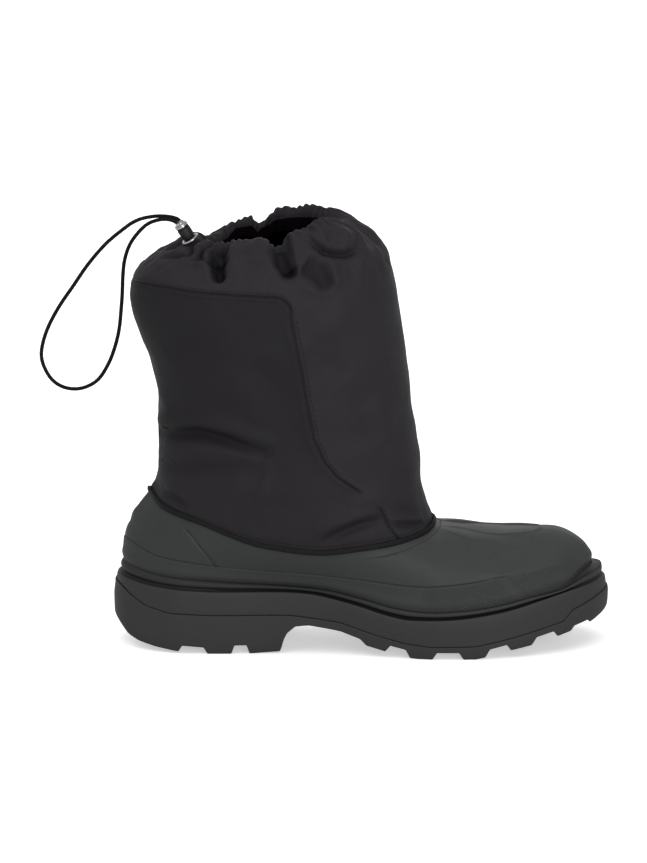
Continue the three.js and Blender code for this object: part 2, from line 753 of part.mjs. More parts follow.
// A point of row i (a whole number) of the shaft's outer face.
function shaftRow(i, turn, pleated) {
  if (i >= ANKLE) {
    return ringAt[i - ANKLE](turn, pleated);
  }
  const low = lipPoint(turn);
  const high = ringAt[0](turn, false);
  const up = ANKLE_ROWS[i];
  const across = 1 - (1 - up) ** 2.6;
  return [lerp(low[0], high[0], across), lerp(low[1], high[1], across), lerp(low[2], high[2], up)];
}

function shaftPoint(turn, row, pleated = false) {
  const i = Math.min(Math.floor(row), LAST_ROW - 1);
  const a = shaftRow(i, turn, pleated);
  const b = shaftRow(i + 1, turn, pleated);
  return a.map((v, k) => lerp(v, b[k], row - i));
}

// Rows of the shaft's inner face, from the turned-in end of the collar down to the ankle, with the
// depth of each below the outer face.
const SHAFT_INNER_ROWS = [
  { row: LAST_ROW, depth: 2.6 },
  { row: LAST_ROW - 1, depth: 3.2 },
  { row: LAST_ROW - 2, depth: 4.2 },
  { row: LAST_ROW - 3, depth: 4.4 },
  { row: LAST_ROW - 4, depth: 4.2 },
  { row: LAST_ROW - 5, depth: 3.6 },
  { row: LAST_ROW - 7, depth: SHAFT_WALL },
  { row: LAST_ROW - 10, depth: SHAFT_WALL },
  { row: 4, depth: SHAFT_WALL },
  { row: 1.6, depth: SHAFT_WALL },
  { row: 0, depth: SHAFT_WALL },
];

function makeShaft() {
  const surface = { at: (turn, row) => shaftPoint(turn, row), top: LAST_ROW };
  const rings = [];
  for (let i = 0; i <= LAST_ROW; i += 1) {
    rings.push(ringOf((turn) => shaftRow(i, turn, true)));
  }
  SHAFT_INNER_ROWS.forEach(({ row, depth }) => {
    rings.push(
      ringOf((turn) => {
        const p = pushedIn(surface, turn, row, depth, 0.006, 0.5);
        return row === 0 ? [p[0], p[1], lipPoint(turn)[2]] : p;
      }),
    );
  });
  return wallLoft(rings);
}

// ---------------------------------------------------------------- eyelet, cord lock and drawcord
function closedProfile(points) {
  return points.map(([r, z]) => new THREE.Vector2(r, z));
}

function eyeletGeometry() {
  const n = 6;
  const profile = [];
  for (let i = 0; i <= n; i += 1) {
    const a = (i / n) * Math.PI * 2;
    profile.push([EYELET_RADIUS + EYELET_WIRE * Math.cos(a), EYELET_WIRE * Math.sin(a)]);
  }
  return new THREE.LatheGeometry(closedProfile(profile), 20);
}

function barrelGeometry() {
  const r = BARREL_RADIUS;
  const h = BARREL_LENGTH;
  const profile = [
    [0, 0],
    [r * 0.62, 0],
    [r * 0.8, 0.5],
    [r * 0.94, 1.6],
    [r, 3.2],
    [r, h - 0.7],
    [r - 0.5, h],
    [0, h],
  ];
  return new THREE.LatheGeometry(closedProfile(profile), 20);
}

function capGeometry() {
  const r = BARREL_RADIUS;
  const profile = [
    [0, 0],
    [r - 0.5, 0],
    [r + 0.3, 0.4],
    [r + 0.3, 0.9],
    [r - 0.4, 1.2],
    [r - 0.1, 1.6],
    [r - 0.1, 2],
    [r - 1.1, 2.4],
    [r - 1.3, 3.6],
    [r - 2.1, 4.2],
    [0, 4.4],
  ];
  return new THREE.LatheGeometry(closedProfile(profile), 20);
}

// Stands a lathe's axis (its own +Y) along a direction, at a place.
function stand(mesh, place, direction) {
  mesh.position.set(...place);
  mesh.quaternion.setFromUnitVectors(new THREE.Vector3(0, 1, 0), direction);
  return mesh;
}

function cordGeometry() {
  const path = new THREE.CatmullRomCurve3(
    CORD_ROUTE.map(({ x, y, z }) => new THREE.Vector3(x, y, z)),
    false,
    "centripetal",
  );
  const section8 = new THREE.Shape(
    Array.from({ length: 8 }, (_, i) => {
      const a = (i / 8) * Math.PI * 2;
      return new THREE.Vector2((Math.cos(a) * CORD_DIAMETER) / 2, (Math.sin(a) * CORD_DIAMETER) / 2);
    }),
  );
  const steps = Math.round(path.getLength() / (CORD_DIAMETER * 2.4));
  return new THREE.ExtrudeGeometry(section8, { steps, extrudePath: path, curveSegments: 1 });
}

// ---------------------------------------------------------------- the boot
const boot = new THREE.Group();
boot.position.set(-SOLE_LENGTH / 2, 0, 0); // origin under the middle of the sole

function addPiece(name, geometry, look) {
  const mesh = new THREE.Mesh(geometry, new THREE.MeshStandardMaterial(COLOURS[look]));
  mesh.name = name;
  boot.add(mesh);
  return mesh;
}

addPiece("outsole", makeOutsole(), "rubberSole");
addPiece("midsole", makeMidsole(), "rubberMidsole");
addPiece("insole", makeInsole(), "felt");
addPiece("shell", makeShell(), "rubberShell");
addPiece("shaft", makeShaft(), "nylon");

const eyeletTurn = EYELET_PLACE.along / 2;
const seat = new THREE.Vector3(...shaftPoint(eyeletTurn, EYELET_PLACE.row));
const lockAxis = new THREE.Vector3(-0.52, -0.12, 0.846).normalize();
const eyeletAt = seat.clone().addScaledVector(lockAxis, EYELET_WIRE + 1.5);
stand(addPiece("eyelet", eyeletGeometry(), "chrome"), eyeletAt.toArray(), lockAxis);
const barrelAt = eyeletAt.clone().addScaledVector(lockAxis, BARREL_LIFT);
stand(addPiece("cord_lock_barrel", barrelGeometry(), "blackPlastic"), barrelAt.toArray(), lockAxis);
const capAt = barrelAt.clone().addScaledVector(lockAxis, BARREL_LENGTH + JOINT_GAP);
stand(addPiece("cord_lock_cap", capGeometry(), "chrome"), capAt.toArray(), lockAxis);
addPiece("drawcord", cordGeometry(), "elastic");

export default boot;
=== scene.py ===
import math

import bmesh
import bpy
import numpy as np
from mathutils import Matrix, Vector, noise


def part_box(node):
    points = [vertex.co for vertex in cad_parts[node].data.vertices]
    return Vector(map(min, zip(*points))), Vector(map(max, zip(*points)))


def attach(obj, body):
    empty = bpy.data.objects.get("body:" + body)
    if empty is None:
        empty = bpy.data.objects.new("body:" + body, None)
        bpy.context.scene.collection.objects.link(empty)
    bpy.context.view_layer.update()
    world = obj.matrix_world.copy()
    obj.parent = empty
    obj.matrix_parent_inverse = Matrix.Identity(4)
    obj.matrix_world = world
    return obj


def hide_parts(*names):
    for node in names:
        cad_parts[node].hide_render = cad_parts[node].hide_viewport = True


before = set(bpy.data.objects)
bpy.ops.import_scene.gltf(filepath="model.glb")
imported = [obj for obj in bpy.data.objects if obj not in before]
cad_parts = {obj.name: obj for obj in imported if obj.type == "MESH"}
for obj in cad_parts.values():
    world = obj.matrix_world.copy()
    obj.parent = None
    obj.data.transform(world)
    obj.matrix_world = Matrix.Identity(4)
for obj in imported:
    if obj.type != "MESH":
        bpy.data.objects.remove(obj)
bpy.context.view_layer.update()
soleLength = 318.0  # shapes are worked out in millimetres from the back of the heel
jointGap = 0.3

# curves through tables


class SmoothTable:
    # a smooth curve through rows that never overshoots them; ends are held
    def __init__(self, at, values):
        self.at = np.asarray(at, float)
        self.values = np.asarray(values, float)
        extra = (1,) * (self.values.ndim - 1)
        step = np.diff(self.at).reshape(-1, *extra)
        slope = np.diff(self.values, axis=0) / step
        tangent = np.zeros_like(self.values)
        tangent[0] = slope[0]
        tangent[-1] = slope[-1]
        before, after = step[:-1], step[1:]
        weight = (2 * after + before) / (3 * (after + before))
        bottom = weight * slope[1:] + (1 - weight) * slope[:-1]
        rising = slope[:-1] * slope[1:] > 0
        tangent[1:-1] = np.where(rising, slope[:-1] * slope[1:] / np.where(rising, bottom, 1), 0)
        self.tangent = tangent

    def spots(self, where):
        where = np.clip(where, self.at[0], self.at[-1])
        i = np.clip(np.searchsorted(self.at, where, side="right") - 1, 0, len(self.at) - 2)
        step = self.at[i + 1] - self.at[i]
        return i, step, (where - self.at[i]) / step

    def __call__(self, where):
        i, step, f = self.spots(np.asarray(where, float))
        wide = (...,) + (None,) * (self.values.ndim - 1)
        step, f = step[wide], f[wide]
        return cubicBetween(self.values[i], self.values[i + 1], self.tangent[i], self.tangent[i + 1], step, f)


def cubicBetween(low, high, lowSlope, highSlope, step, f):
    g = 1 - f
    ends = low * (1 + 2 * f) * g * g + high * f * f * (3 - 2 * f)
    return ends + step * f * g * (lowSlope * g - highSlope * f)


def smoothStep(start, end, x):
    t = np.clip((x - start) / (end - start), 0, 1)
    return t * t * (3 - 2 * t)


def between(low, high, f):
    return low + (high - low) * f


def bump(distance, width):
    return np.exp(-((distance / width) ** 2))


# sole outline, side lines of sole and shell (x from the heel, then z or half width)
sole = {
    "outline": [  # x, lateral, medial
        (0, 0, 0), (10, 24, 24), (25, 34, 34), (45, 39.5, 39), (70, 40.2, 37.5), (100, 38.8, 33.5),
        (130, 40, 32.5), (160, 45.6, 38), (190, 52.4, 47), (215, 55.4, 53.7), (238, 54.3, 55.4),
        (262, 49.4, 52.6), (283, 41, 45), (300, 30, 33.6), (312, 15.5, 20), (318, -2.5, 2.5),
    ],
    "tread": [
        (-4, 23), (0, 19), (8.6, 9), (15, 6), (26, 3.5), (41, 1.3), (58, 0), (89, 0), (107.6, 1.4),
        (109, 8), (111.6, 13.6), (117, 18.2), (125, 19.2), (146, 16), (159, 11.4), (163, 7.2),
        (175.5, 4), (194, 0), (234, 0), (241, 1.6), (257, 5.2), (270.5, 7.6), (287.8, 11.6),
        (296.4, 13.8), (308, 16.8), (316, 20.4), (323, 26),
    ],
    "underside": [
        (0, 15), (26, 3.5), (60, 0), (100, 1), (146, 6), (194, 0), (234, 0), (270, 7.6),
        (296, 13.8), (318, 22),
    ],
    "parting": [
        (-4, 42), (3, 40.5), (11, 35), (20, 30), (34, 26.5), (60, 25.5), (115, 25.3), (146, 21.4),
        (169, 14.2), (189, 9.6), (204, 8), (234, 8.4), (257, 13), (281, 18.6), (291, 20.8),
        (297, 27.4), (305, 30.4), (322, 37),
    ],
    "wallTop": [
        (0, 46.4), (30, 42.8), (66, 40.9), (112, 40.6), (127, 39.6), (141, 36.9), (159, 32.6),
        (176, 27.8), (192, 25.3), (215, 25.9), (250, 30.3), (277, 36.5), (300, 41.2), (318, 43.2),
    ],
    "rimTop": [
        (0, 55.5), (8, 54.6), (30, 50.6), (66, 47.6), (134, 42.9), (159, 38), (182, 32.6),
        (204, 30.6), (226, 31.8), (250, 35), (271, 39.5), (289, 43.8), (305, 51), (318, 54.5),
    ],
    "footbed": [(0, 36.5), (70, 35), (112, 33.5), (150, 26), (190, 20), (235, 20), (275, 25.5), (318, 34)],
    "toeSetIn": (296, 316, 2.6),  # the rim draws in round the toe tip and the heel
    "heelSetIn": (34, 2, 0.9),
}


def sideCurve(name):
    rows = np.array(sole[name], float)
    return SmoothTable(rows[:, 0], rows[:, 1])


underside, wallTop, rimTop, footbed = (sideCurve(k) for k in ("underside", "wallTop", "rimTop", "footbed"))
outlineRows = np.array(sole["outline"], float)
outlineAngles = np.arccos(1 - 2 * outlineRows[:, 0] / soleLength)
outlineSides = SmoothTable(outlineAngles, outlineRows[:, 1:] * [-1, 1])


def outlineAt(angle, medial):
    sides = outlineSides(angle)
    return np.stack([soleLength / 2 * (1 - np.cos(angle)), np.where(medial, sides[..., 1], sides[..., 0])], -1)


def evenRead(curve, steps, end):
    # reads a curve evenly along its length: part of the way (0..1) to the curve's own place
    place = np.linspace(0, end, steps + 1)
    points = curve(place)
    run = np.concatenate([[0], np.cumsum(np.linalg.norm(np.diff(points, axis=0), axis=1))])
    return run / run[-1], place


lateralEven = evenRead(lambda a: outlineAt(a, False), 720, math.pi)
medialEven = evenRead(lambda a: outlineAt(a, True), 720, math.pi)


def outlinePoint(turn):
    # turn: 0 at the heel, 0.5 at the toe, back to 1 at the heel; the lateral side comes first
    t = np.mod(turn, 1)
    lateral = t <= 0.5
    angle = np.where(
        lateral, np.interp(t * 2, *lateralEven), np.interp((1 - t) * 2, *medialEven)
    )
    return outlineAt(angle, ~lateral)


def outward(curve, turn, step=0.004):
    a, b = curve(turn - step), curve(turn + step)
    along = (b - a)[..., :2]
    along = along / np.linalg.norm(along, axis=-1, keepdims=True)
    return np.stack([along[..., 1], -along[..., 0]], -1)


def insetPoint(turn, inset):
    return outlinePoint(turn) - outward(outlinePoint, turn) * np.asarray(inset)[..., None]


def endSetIn(x):
    toeFrom, toeTo, toeMore = sole["toeSetIn"]
    heelFrom, heelTo, heelMore = sole["heelSetIn"]
    return smoothStep(toeFrom, toeTo, x) * toeMore + smoothStep(-heelFrom, -heelTo, -x) * heelMore


shell = {
    "footInset": 6.0,
    "ledgeDepth": 3.0,
    "wall": 2.2,
    "sections": [  # along, then topline x, y, z, then how far the curve leaves its foot and its top
        (0, 22.9, 0, 99.7, 0.2, 17, 12, -12.7),
        (0.1, 31, 20, 94, 0.8, 16, 9, -12),
        (0.2, 54, 36.6, 87.4, 3, 14, 3, -13),
        (0.32, 98, 43.4, 72.4, 3.4, 9, 0.4, -10),
        (0.42, 134, 44, 68.1, 3, 9, 0.6, -9),
        (0.5, 160, 42.6, 70.6, 1.6, 11, 3, -7),
        (0.58, 181, 37.4, 73.1, 1, 14, 8, -3.4),
        (0.67, 194, 28.6, 74.8, 0.8, 18, 16, 0),
        (0.77, 201, 18.4, 76.4, 0.8, 22, 31, 0),
        (0.87, 204, 9, 78.4, 0.6, 23, 62, -1),
        (1, 204.6, 0, 79, 0.4, 21.5, 88, -2),
    ],
}
sectionRows = np.array(shell["sections"], float)
sectionAt = SmoothTable(sectionRows[:, 0], sectionRows[:, 1:])


def alongOf(turn):
    t = np.mod(turn, 1)
    return np.where(t <= 0.5, t * 2, (1 - t) * 2), np.where(t <= 0.5, -1.0, 1.0)


def toplinePoint(turn):
    along, sign = alongOf(turn)
    row = sectionAt(along)
    return np.stack([row[..., 0], sign * row[..., 1], row[..., 2]], -1)


def ledgeHeight(turn):
    return rimTop(insetPoint(turn, np.full_like(turn, shell["footInset"]))[..., 0]) - shell["ledgeDepth"]


def shellPoint(turn, t):
    # turn round the foot, t from the shell's foot (0) to its topline (1)
    along, _ = alongOf(turn)
    row = sectionAt(along)
    footOut, footUp, topOut, topUp = (row[..., k] for k in range(3, 7))
    footIn = shell["footInset"] + endSetIn(outlinePoint(turn)[..., 0]) + footOut * 0.32
    foot = np.concatenate([insetPoint(turn, footIn), (ledgeHeight(turn) + jointGap)[..., None]], -1)
    top = toplinePoint(turn)
    footSide = outward(outlinePoint, turn)
    topSide = outward(toplinePoint, turn, 0.01)
    low = foot + np.concatenate([footSide * footOut[..., None], footUp[..., None]], -1)
    high = top + np.concatenate([topSide * topOut[..., None], topUp[..., None]], -1)
    t = np.asarray(t, float)[..., None]
    s = 1 - t
    return s ** 3 * foot + 3 * s * s * t * low + 3 * s * t * t * high + t ** 3 * top


shaft = {
    "wall": 3.0,
    "rings": [  # z, back, front, half width, squareness, share of the collar's lift, shift to the inner side
        (126, 28.7, 197.4, 49, 2.4, 0, 0), (158, 28.6, 192.4, 50.4, 2.4, 0, 0),
        (188, 22.8, 189, 51.6, 2.4, 0, 0), (212, 14.6, 185.8, 52.4, 2.4, 0, 0),
        (230, 10.5, 183.4, 52.6, 2.4, 0, 0), (240, 12.4, 181.4, 52, 2.4, 0, 0),
        (247, 14.6, 180, 51, 2.4, 0.06, 0), (258, 25, 176.4, 46.6, 2.3, 0.2, 0.5),
        (267, 36, 169.5, 40.5, 2.2, 0.5, 1), (273.5, 44.5, 160, 35.5, 2.1, 0.85, 1),
        (275.5, 51, 150, 31.6, 2, 1, 1), (272, 55.5, 143.5, 28.8, 2, 0.9, 1),
        (262, 57.5, 141.5, 27.8, 2, 0.6, 1),
    ],
    "collarLift": [(40, -7), (66, -6.4), (84, -4), (100, 1), (114, 6), (132, 7), (148, 5), (168, 0)],
    "ankleRows": (0, 0.05, 0.14, 0.32, 0.62),
    "lip": [(0, 0.7, 0.4), (0.3, 0.8, 0.4), (0.6, 1.2, 0.5), (0.85, 2.2, 0.7), (1, 2.8, 0.8)],
}
toplineEven = evenRead(toplinePoint, 960, 1)
lipRows = np.array(shaft["lip"], float)
lipAt = SmoothTable(lipRows[:, 0], lipRows[:, 1:])
liftRows = np.array(shaft["collarLift"], float)
collarLift = SmoothTable(liftRows[:, 0], liftRows[:, 1])


def lipPoint(turn):
    real = np.interp(np.mod(turn, 1), *toplineEven)
    along, _ = alongOf(real)
    grow = lipAt(along)
    side = outward(toplinePoint, real, 0.01)
    return toplinePoint(real) + np.concatenate([side * grow[..., :1], grow[..., 1:]], -1)


def shaftRing(row, turn):
    z, back, front, half, square, lift, shift = row

    def raw(place):
        c, s = np.cos(place * 2 * math.pi), np.sin(place * 2 * math.pi)
        x = (back + front) / 2 - (front - back) / 2 * np.sign(c) * np.abs(c) ** (2 / square)
        return np.stack([x, shift - half * np.sign(s) * np.abs(s) ** (2 / square)], -1)

    flat = raw(np.interp(np.mod(turn, 1), *evenRead(raw, 960, 1)))
    return np.concatenate([flat, (z + lift * collarLift(flat[..., 0]))[..., None]], -1)


class ShaftSurface:
    # the shaft's smooth outer face: turn round it, and millimetres up it from its bottom edge
    def __init__(self, columns=720):
        turn = np.arange(columns) / columns
        low = lipPoint(turn)
        first = shaftRing(shaft["rings"][0], turn)
        rows = []
        for up in shaft["ankleRows"]:
            across = 1 - (1 - up) ** 2.6
            flat = between(low[:, :2], first[:, :2], across)
            rows.append(np.concatenate([flat, between(low[:, 2:], first[:, 2:], up)], -1))
        rows += [shaftRing(row, turn) for row in shaft["rings"]]
        rows = np.array(rows)
        run = np.linalg.norm(np.diff(rows, axis=0), axis=2).mean(1)
        self.columns = columns
        self.table = SmoothTable(np.concatenate([[0], np.cumsum(run)]), rows)
        self.levels = self.table.at
        self.height = self.levels[-1]

    def __call__(self, turn, up):
        i, step, f = self.table.spots(up)
        place = np.mod(turn, 1) * self.columns
        left = np.floor(place).astype(int) % self.columns
        right = (left + 1) % self.columns
        part = (place - np.floor(place))[..., None]
        step, f = step[..., None], f[..., None]

        def read(source, row):
            return between(source[row, left], source[row, right], part)

        return cubicBetween(
            read(self.table.values, i), read(self.table.values, i + 1),
            read(self.table.tangent, i), read(self.table.tangent, i + 1), step, f,
        )


shaftSurface = ShaftSurface()
print("shapes ready")

# meshes


def toFrame(points):
    # from millimetres from the back of the heel to metres in the shared frame
    return (np.asarray(points) - [soleLength / 2, 0, 0]) / 1000


def newPiece(name, mesh, materials, sharpAngle=None):
    piece = bpy.data.objects.new(name, mesh)
    bpy.context.scene.collection.objects.link(piece)
    for material in materials:
        mesh.materials.append(material)
    mesh.polygons.foreach_set("use_smooth", np.ones(len(mesh.polygons), bool))
    if sharpAngle:
        mesh.set_sharp_from_angle(angle=math.radians(sharpAngle))
    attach(piece, "root")
    return piece


def gridPiece(name, points, materials, uv=None, masks=None, rowMaterial=None, sharpAngle=None):
    # a grid operator's sheet laid over rows of points, with touching edges merged
    rows, columns = points.shape[:2]
    bm = bmesh.new()
    bm.loops.layers.uv.new("UVMap")
    bmesh.ops.create_grid(bm, x_segments=columns - 1, y_segments=rows - 1, size=0.5, calc_uvs=True)
    mesh = bpy.data.meshes.new(name)
    bm.to_mesh(mesh)
    mesh.vertices.foreach_set("co", toFrame(points).astype(np.float32).ravel())
    corner = np.empty(len(mesh.loops), np.int32)
    mesh.loops.foreach_get("vertex_index", corner)
    if uv is not None:
        mesh.uv_layers[0].data.foreach_set("uv", uv.reshape(-1, 2)[corner].astype(np.float32).ravel())
    for key, values in (masks or {}).items():
        layer = mesh.attributes.new(key, "FLOAT", "POINT")
        layer.data.foreach_set("value", np.asarray(values, np.float32).ravel())
    if rowMaterial is not None:
        first = corner[[p.loop_start for p in mesh.polygons]] // columns
        mesh.polygons.foreach_set("material_index", np.asarray(rowMaterial, np.int32)[first])
    bm.clear()
    bm.from_mesh(mesh)
    bmesh.ops.remove_doubles(bm, verts=bm.verts, dist=1e-6)
    bmesh.ops.dissolve_degenerate(bm, edges=bm.edges, dist=1e-7)
    bmesh.ops.recalc_face_normals(bm, faces=bm.faces)
    if bm.calc_volume(signed=True) < 0:
        bmesh.ops.reverse_faces(bm, faces=bm.faces)
    bm.to_mesh(mesh)
    bm.free()
    return newPiece(name, mesh, materials, sharpAngle)


def gridNormals(points, closedColumns=True):
    # outward directions of a grid whose columns run round and whose rows run up
    if closedColumns:
        body = points[:, :-1]
        across = np.roll(body, -1, 1) - np.roll(body, 1, 1)
        across = np.concatenate([across, across[:, :1]], 1)
    else:
        across = np.gradient(points, axis=1)
    normal = np.cross(across, np.gradient(points, axis=0))
    return normal / np.maximum(np.linalg.norm(normal, axis=-1, keepdims=True), 1e-9)


def noiseField(points, size, seed=0):
    # soft noise over an array of points in millimetres, with lumps of the given size
    shift = Vector((seed * 7.3, seed * 3.1, seed * 5.7))
    flat = [noise.noise(Vector(p) / size + shift) for p in points.reshape(-1, 3).tolist()]
    return np.array(flat).reshape(points.shape[:-1])


def nearLine(points, line):
    # distance of each point to a line, its place along the line (0..1) and the direction to it
    flat = points.reshape(-1, 3)
    run = np.concatenate([[0], np.cumsum(np.linalg.norm(np.diff(line, axis=0), axis=1))])
    near = np.full(len(flat), 1e9)
    place = np.zeros(len(flat))
    toward = np.zeros_like(flat)
    tangent = np.zeros_like(flat)
    for k in range(len(line) - 1):
        a, way = line[k], line[k + 1] - line[k]
        length = max(np.linalg.norm(way), 1e-6)
        f = np.clip((flat - a) @ way / length ** 2, 0, 1)
        gap = flat - (a + f[:, None] * way)
        distance = np.linalg.norm(gap, axis=1)
        closer = distance < near
        near[closer] = distance[closer]
        place[closer] = (run[k] + f[closer] * length) / run[-1]
        toward[closer] = gap[closer]
        tangent[closer] = way / length
    shape = points.shape
    return near.reshape(shape[:-1]), place.reshape(shape[:-1]), toward.reshape(shape), tangent.reshape(shape)


def smoothPath(points, spacing):
    # a smooth path through points (centripetal), read at an even spacing
    p = np.asarray(points, float)
    ends = np.vstack([2 * p[0] - p[1], p, 2 * p[-1] - p[-2]])
    dense = []
    for k in range(1, len(ends) - 2):
        p0, p1, p2, p3 = ends[k - 1:k + 3]
        t1 = math.sqrt(max(np.linalg.norm(p1 - p0), 1e-6))
        t2 = t1 + math.sqrt(max(np.linalg.norm(p2 - p1), 1e-6))
        t3 = t2 + math.sqrt(max(np.linalg.norm(p3 - p2), 1e-6))
        t = np.linspace(t1, t2, 17)[:-1, None]
        a1 = (t1 - t) / t1 * p0 + t / t1 * p1
        a2 = (t2 - t) / (t2 - t1) * p1 + (t - t1) / (t2 - t1) * p2
        a3 = (t3 - t) / (t3 - t2) * p2 + (t - t2) / (t3 - t2) * p3
        b1 = (t2 - t) / t2 * a1 + t / t2 * a2
        b2 = (t3 - t) / (t3 - t1) * a2 + (t - t1) / (t3 - t1) * a3
        dense.append((t2 - t) / (t2 - t1) * b1 + (t - t1) / (t2 - t1) * b2)
    dense = np.vstack(dense + [p[-1:]])
    run = np.concatenate([[0], np.cumsum(np.linalg.norm(np.diff(dense, axis=0), axis=1))])
    count = max(int(round(run[-1] / spacing)), 2)
    even = np.linspace(0, run[-1], count + 1)
    return np.stack([np.interp(even, run, dense[:, k]) for k in range(dense.shape[1])], -1), run[-1]


def carriedFrames(path):
    # two directions square to a path at each of its points, carried along without twist
    way = np.gradient(path, axis=0)
    way /= np.linalg.norm(way, axis=1, keepdims=True)
    side = np.cross(way[0], [0, 1, 0.01])
    sides = []
    for w in way:
        side = side - w * (side @ w)
        side = side / np.linalg.norm(side)
        sides.append(side)
    sides = np.array(sides)
    return sides, np.cross(way, sides)


# materials


def addNode(tree, kind, values=None, **settings):
    made = tree.nodes.new(kind)
    for key, value in settings.items():
        setattr(made, key, value)
    for key, value in (values or {}).items():
        made.inputs[key].default_value = value
    return made


def makeGroup(name, inputs, outputs):
    group = bpy.data.node_groups.new(name, "ShaderNodeTree")
    for key, kind, value in inputs:
        made = group.interface.new_socket(key, in_out="INPUT", socket_type=kind)
        if value is not None:
            made.default_value = value
    for key, kind in outputs:
        group.interface.new_socket(key, in_out="OUTPUT", socket_type=kind)
    return group, group.nodes.new("NodeGroupInput").outputs, group.nodes.new("NodeGroupOutput").inputs


def mathNode(tree, operation, a, b=None, clamp=False):
    made = addNode(tree, "ShaderNodeMath", operation=operation, use_clamp=clamp)
    for k, value in enumerate((a, b)):
        if isinstance(value, (int, float)):
            made.inputs[k].default_value = value
        elif value is not None:
            tree.links.new(value, made.inputs[k])
    return made.outputs[0]


def makeGrainGroup():
    # moulded or pressed grain: a fine height and slow light and dark patches
    group, given, made = makeGroup(
        "surfaceGrain",
        [("Vector", "NodeSocketVector", None), ("Grain Size", "NodeSocketFloat", 0.0006),
         ("Patch Size", "NodeSocketFloat", 0.05)],
        [("Height", "NodeSocketFloat"), ("Patches", "NodeSocketFloat"), ("Specks", "NodeSocketFloat")],
    )
    links = group.links
    fine = addNode(group, "ShaderNodeTexNoise", {"Detail": 3.0, "Roughness": 0.6})
    cells = addNode(group, "ShaderNodeTexVoronoi", feature="F1")
    slow = addNode(group, "ShaderNodeTexNoise", {"Detail": 4.0, "Roughness": 0.55})
    fineScale = mathNode(group, "DIVIDE", 1.0, given["Grain Size"])
    for texture in (fine, cells):
        links.new(given["Vector"], texture.inputs["Vector"])
        links.new(fineScale, texture.inputs["Scale"])
    links.new(given["Vector"], slow.inputs["Vector"])
    links.new(mathNode(group, "DIVIDE", 1.0, given["Patch Size"]), slow.inputs["Scale"])
    halfCells = mathNode(group, "MULTIPLY", cells.outputs["Distance"], 0.5)
    links.new(mathNode(group, "ADD", fine.outputs["Fac"], halfCells), made["Height"])
    links.new(slow.outputs["Fac"], made["Patches"])
    specks = addNode(group, "ShaderNodeMapRange", {"From Min": 0.62, "From Max": 0.8})
    links.new(fine.outputs["Fac"], specks.inputs["Value"])
    links.new(specks.outputs["Result"], made["Specks"])
    return group


def makeWeaveGroup():
    # plain weave on a cloth's own map, where one unit of the map is a metre
    group, given, made = makeGroup(
        "plainWeave",
        [("Vector", "NodeSocketVector", None), ("Thread Width", "NodeSocketFloat", 0.0004)],
        [("Height", "NodeSocketFloat"), ("Slubs", "NodeSocketFloat")],
    )
    links = group.links
    split = addNode(group, "ShaderNodeSeparateXYZ")
    links.new(given["Vector"], split.inputs[0])
    turns = mathNode(group, "DIVIDE", math.pi, given["Thread Width"])
    warp = mathNode(group, "SINE", mathNode(group, "MULTIPLY", split.outputs["X"], turns))
    weft = mathNode(group, "SINE", mathNode(group, "MULTIPLY", split.outputs["Y"], turns))
    links.new(mathNode(group, "MULTIPLY", warp, weft), made["Height"])
    slubs = addNode(group, "ShaderNodeTexNoise", {"Scale": 900.0, "Detail": 2.0})
    stretch = addNode(group, "ShaderNodeMapping", {"Scale": (1.0, 0.05, 1.0)})
    links.new(given["Vector"], stretch.inputs["Vector"])
    links.new(stretch.outputs[0], slubs.inputs["Vector"])
    links.new(slubs.outputs["Fac"], made["Slubs"])
    return group


def makeKnurlGroup():
    # raised diamonds in crossing rows on a piece's own map, where one unit of the map is a metre
    group, given, made = makeGroup(
        "diamondKnurl",
        [("Vector", "NodeSocketVector", None), ("Pitch", "NodeSocketFloat", 0.0022)],
        [("Height", "NodeSocketFloat")],
    )
    links = group.links
    split = addNode(group, "ShaderNodeSeparateXYZ")
    links.new(given["Vector"], split.inputs[0])
    total = mathNode(group, "ADD", split.outputs["X"], split.outputs["Y"])
    apart = mathNode(group, "SUBTRACT", split.outputs["X"], split.outputs["Y"])
    ridges = [
        mathNode(group, "PINGPONG", mathNode(group, "DIVIDE", way, given["Pitch"]), 0.5) for way in (total, apart)
    ]
    links.new(mathNode(group, "MULTIPLY", ridges[0], ridges[1]), made["Height"])
    return group


def makeDustGroup():
    # pale dust that settles where a surface faces up, broken up by noise
    group, given, made = makeGroup(
        "settledDust",
        [("Vector", "NodeSocketVector", None), ("Amount", "NodeSocketFloat", 0.3),
         ("Patch Size", "NodeSocketFloat", 0.02)],
        [("Mask", "NodeSocketFloat")],
    )
    links = group.links
    surface = addNode(group, "ShaderNodeNewGeometry")
    split = addNode(group, "ShaderNodeSeparateXYZ")
    links.new(surface.outputs["Normal"], split.inputs[0])
    facing = addNode(group, "ShaderNodeMapRange", {"From Min": 0.2, "From Max": 1.0})
    links.new(split.outputs["Z"], facing.inputs["Value"])
    patches = addNode(group, "ShaderNodeTexNoise", {"Detail": 5.0, "Roughness": 0.65})
    links.new(given["Vector"], patches.inputs["Vector"])
    links.new(mathNode(group, "DIVIDE", 1.0, given["Patch Size"]), patches.inputs["Scale"])
    rough = mathNode(group, "MULTIPLY", facing.outputs["Result"], patches.outputs["Fac"])
    links.new(mathNode(group, "MULTIPLY", rough, given["Amount"], clamp=True), made["Mask"])
    return group


grainGroup, weaveGroup = makeGrainGroup(), makeWeaveGroup()
knurlGroup, dustGroup = makeKnurlGroup(), makeDustGroup()


def startMaterial(name, finish):
    material = bpy.data.materials.new(name)
    material.use_nodes = True
    tree = material.node_tree
    surface = tree.nodes["Principled BSDF"]
    for key, value in finish.items():
        surface.inputs[key].default_value = value
    return material, tree, surface


def placeGroup(tree, group, vector, values):
    made = addNode(tree, "ShaderNodeGroup", node_tree=group)
    tree.links.new(vector, made.inputs["Vector"])
    for key, value in values.items():
        made.inputs[key].default_value = value
    return made


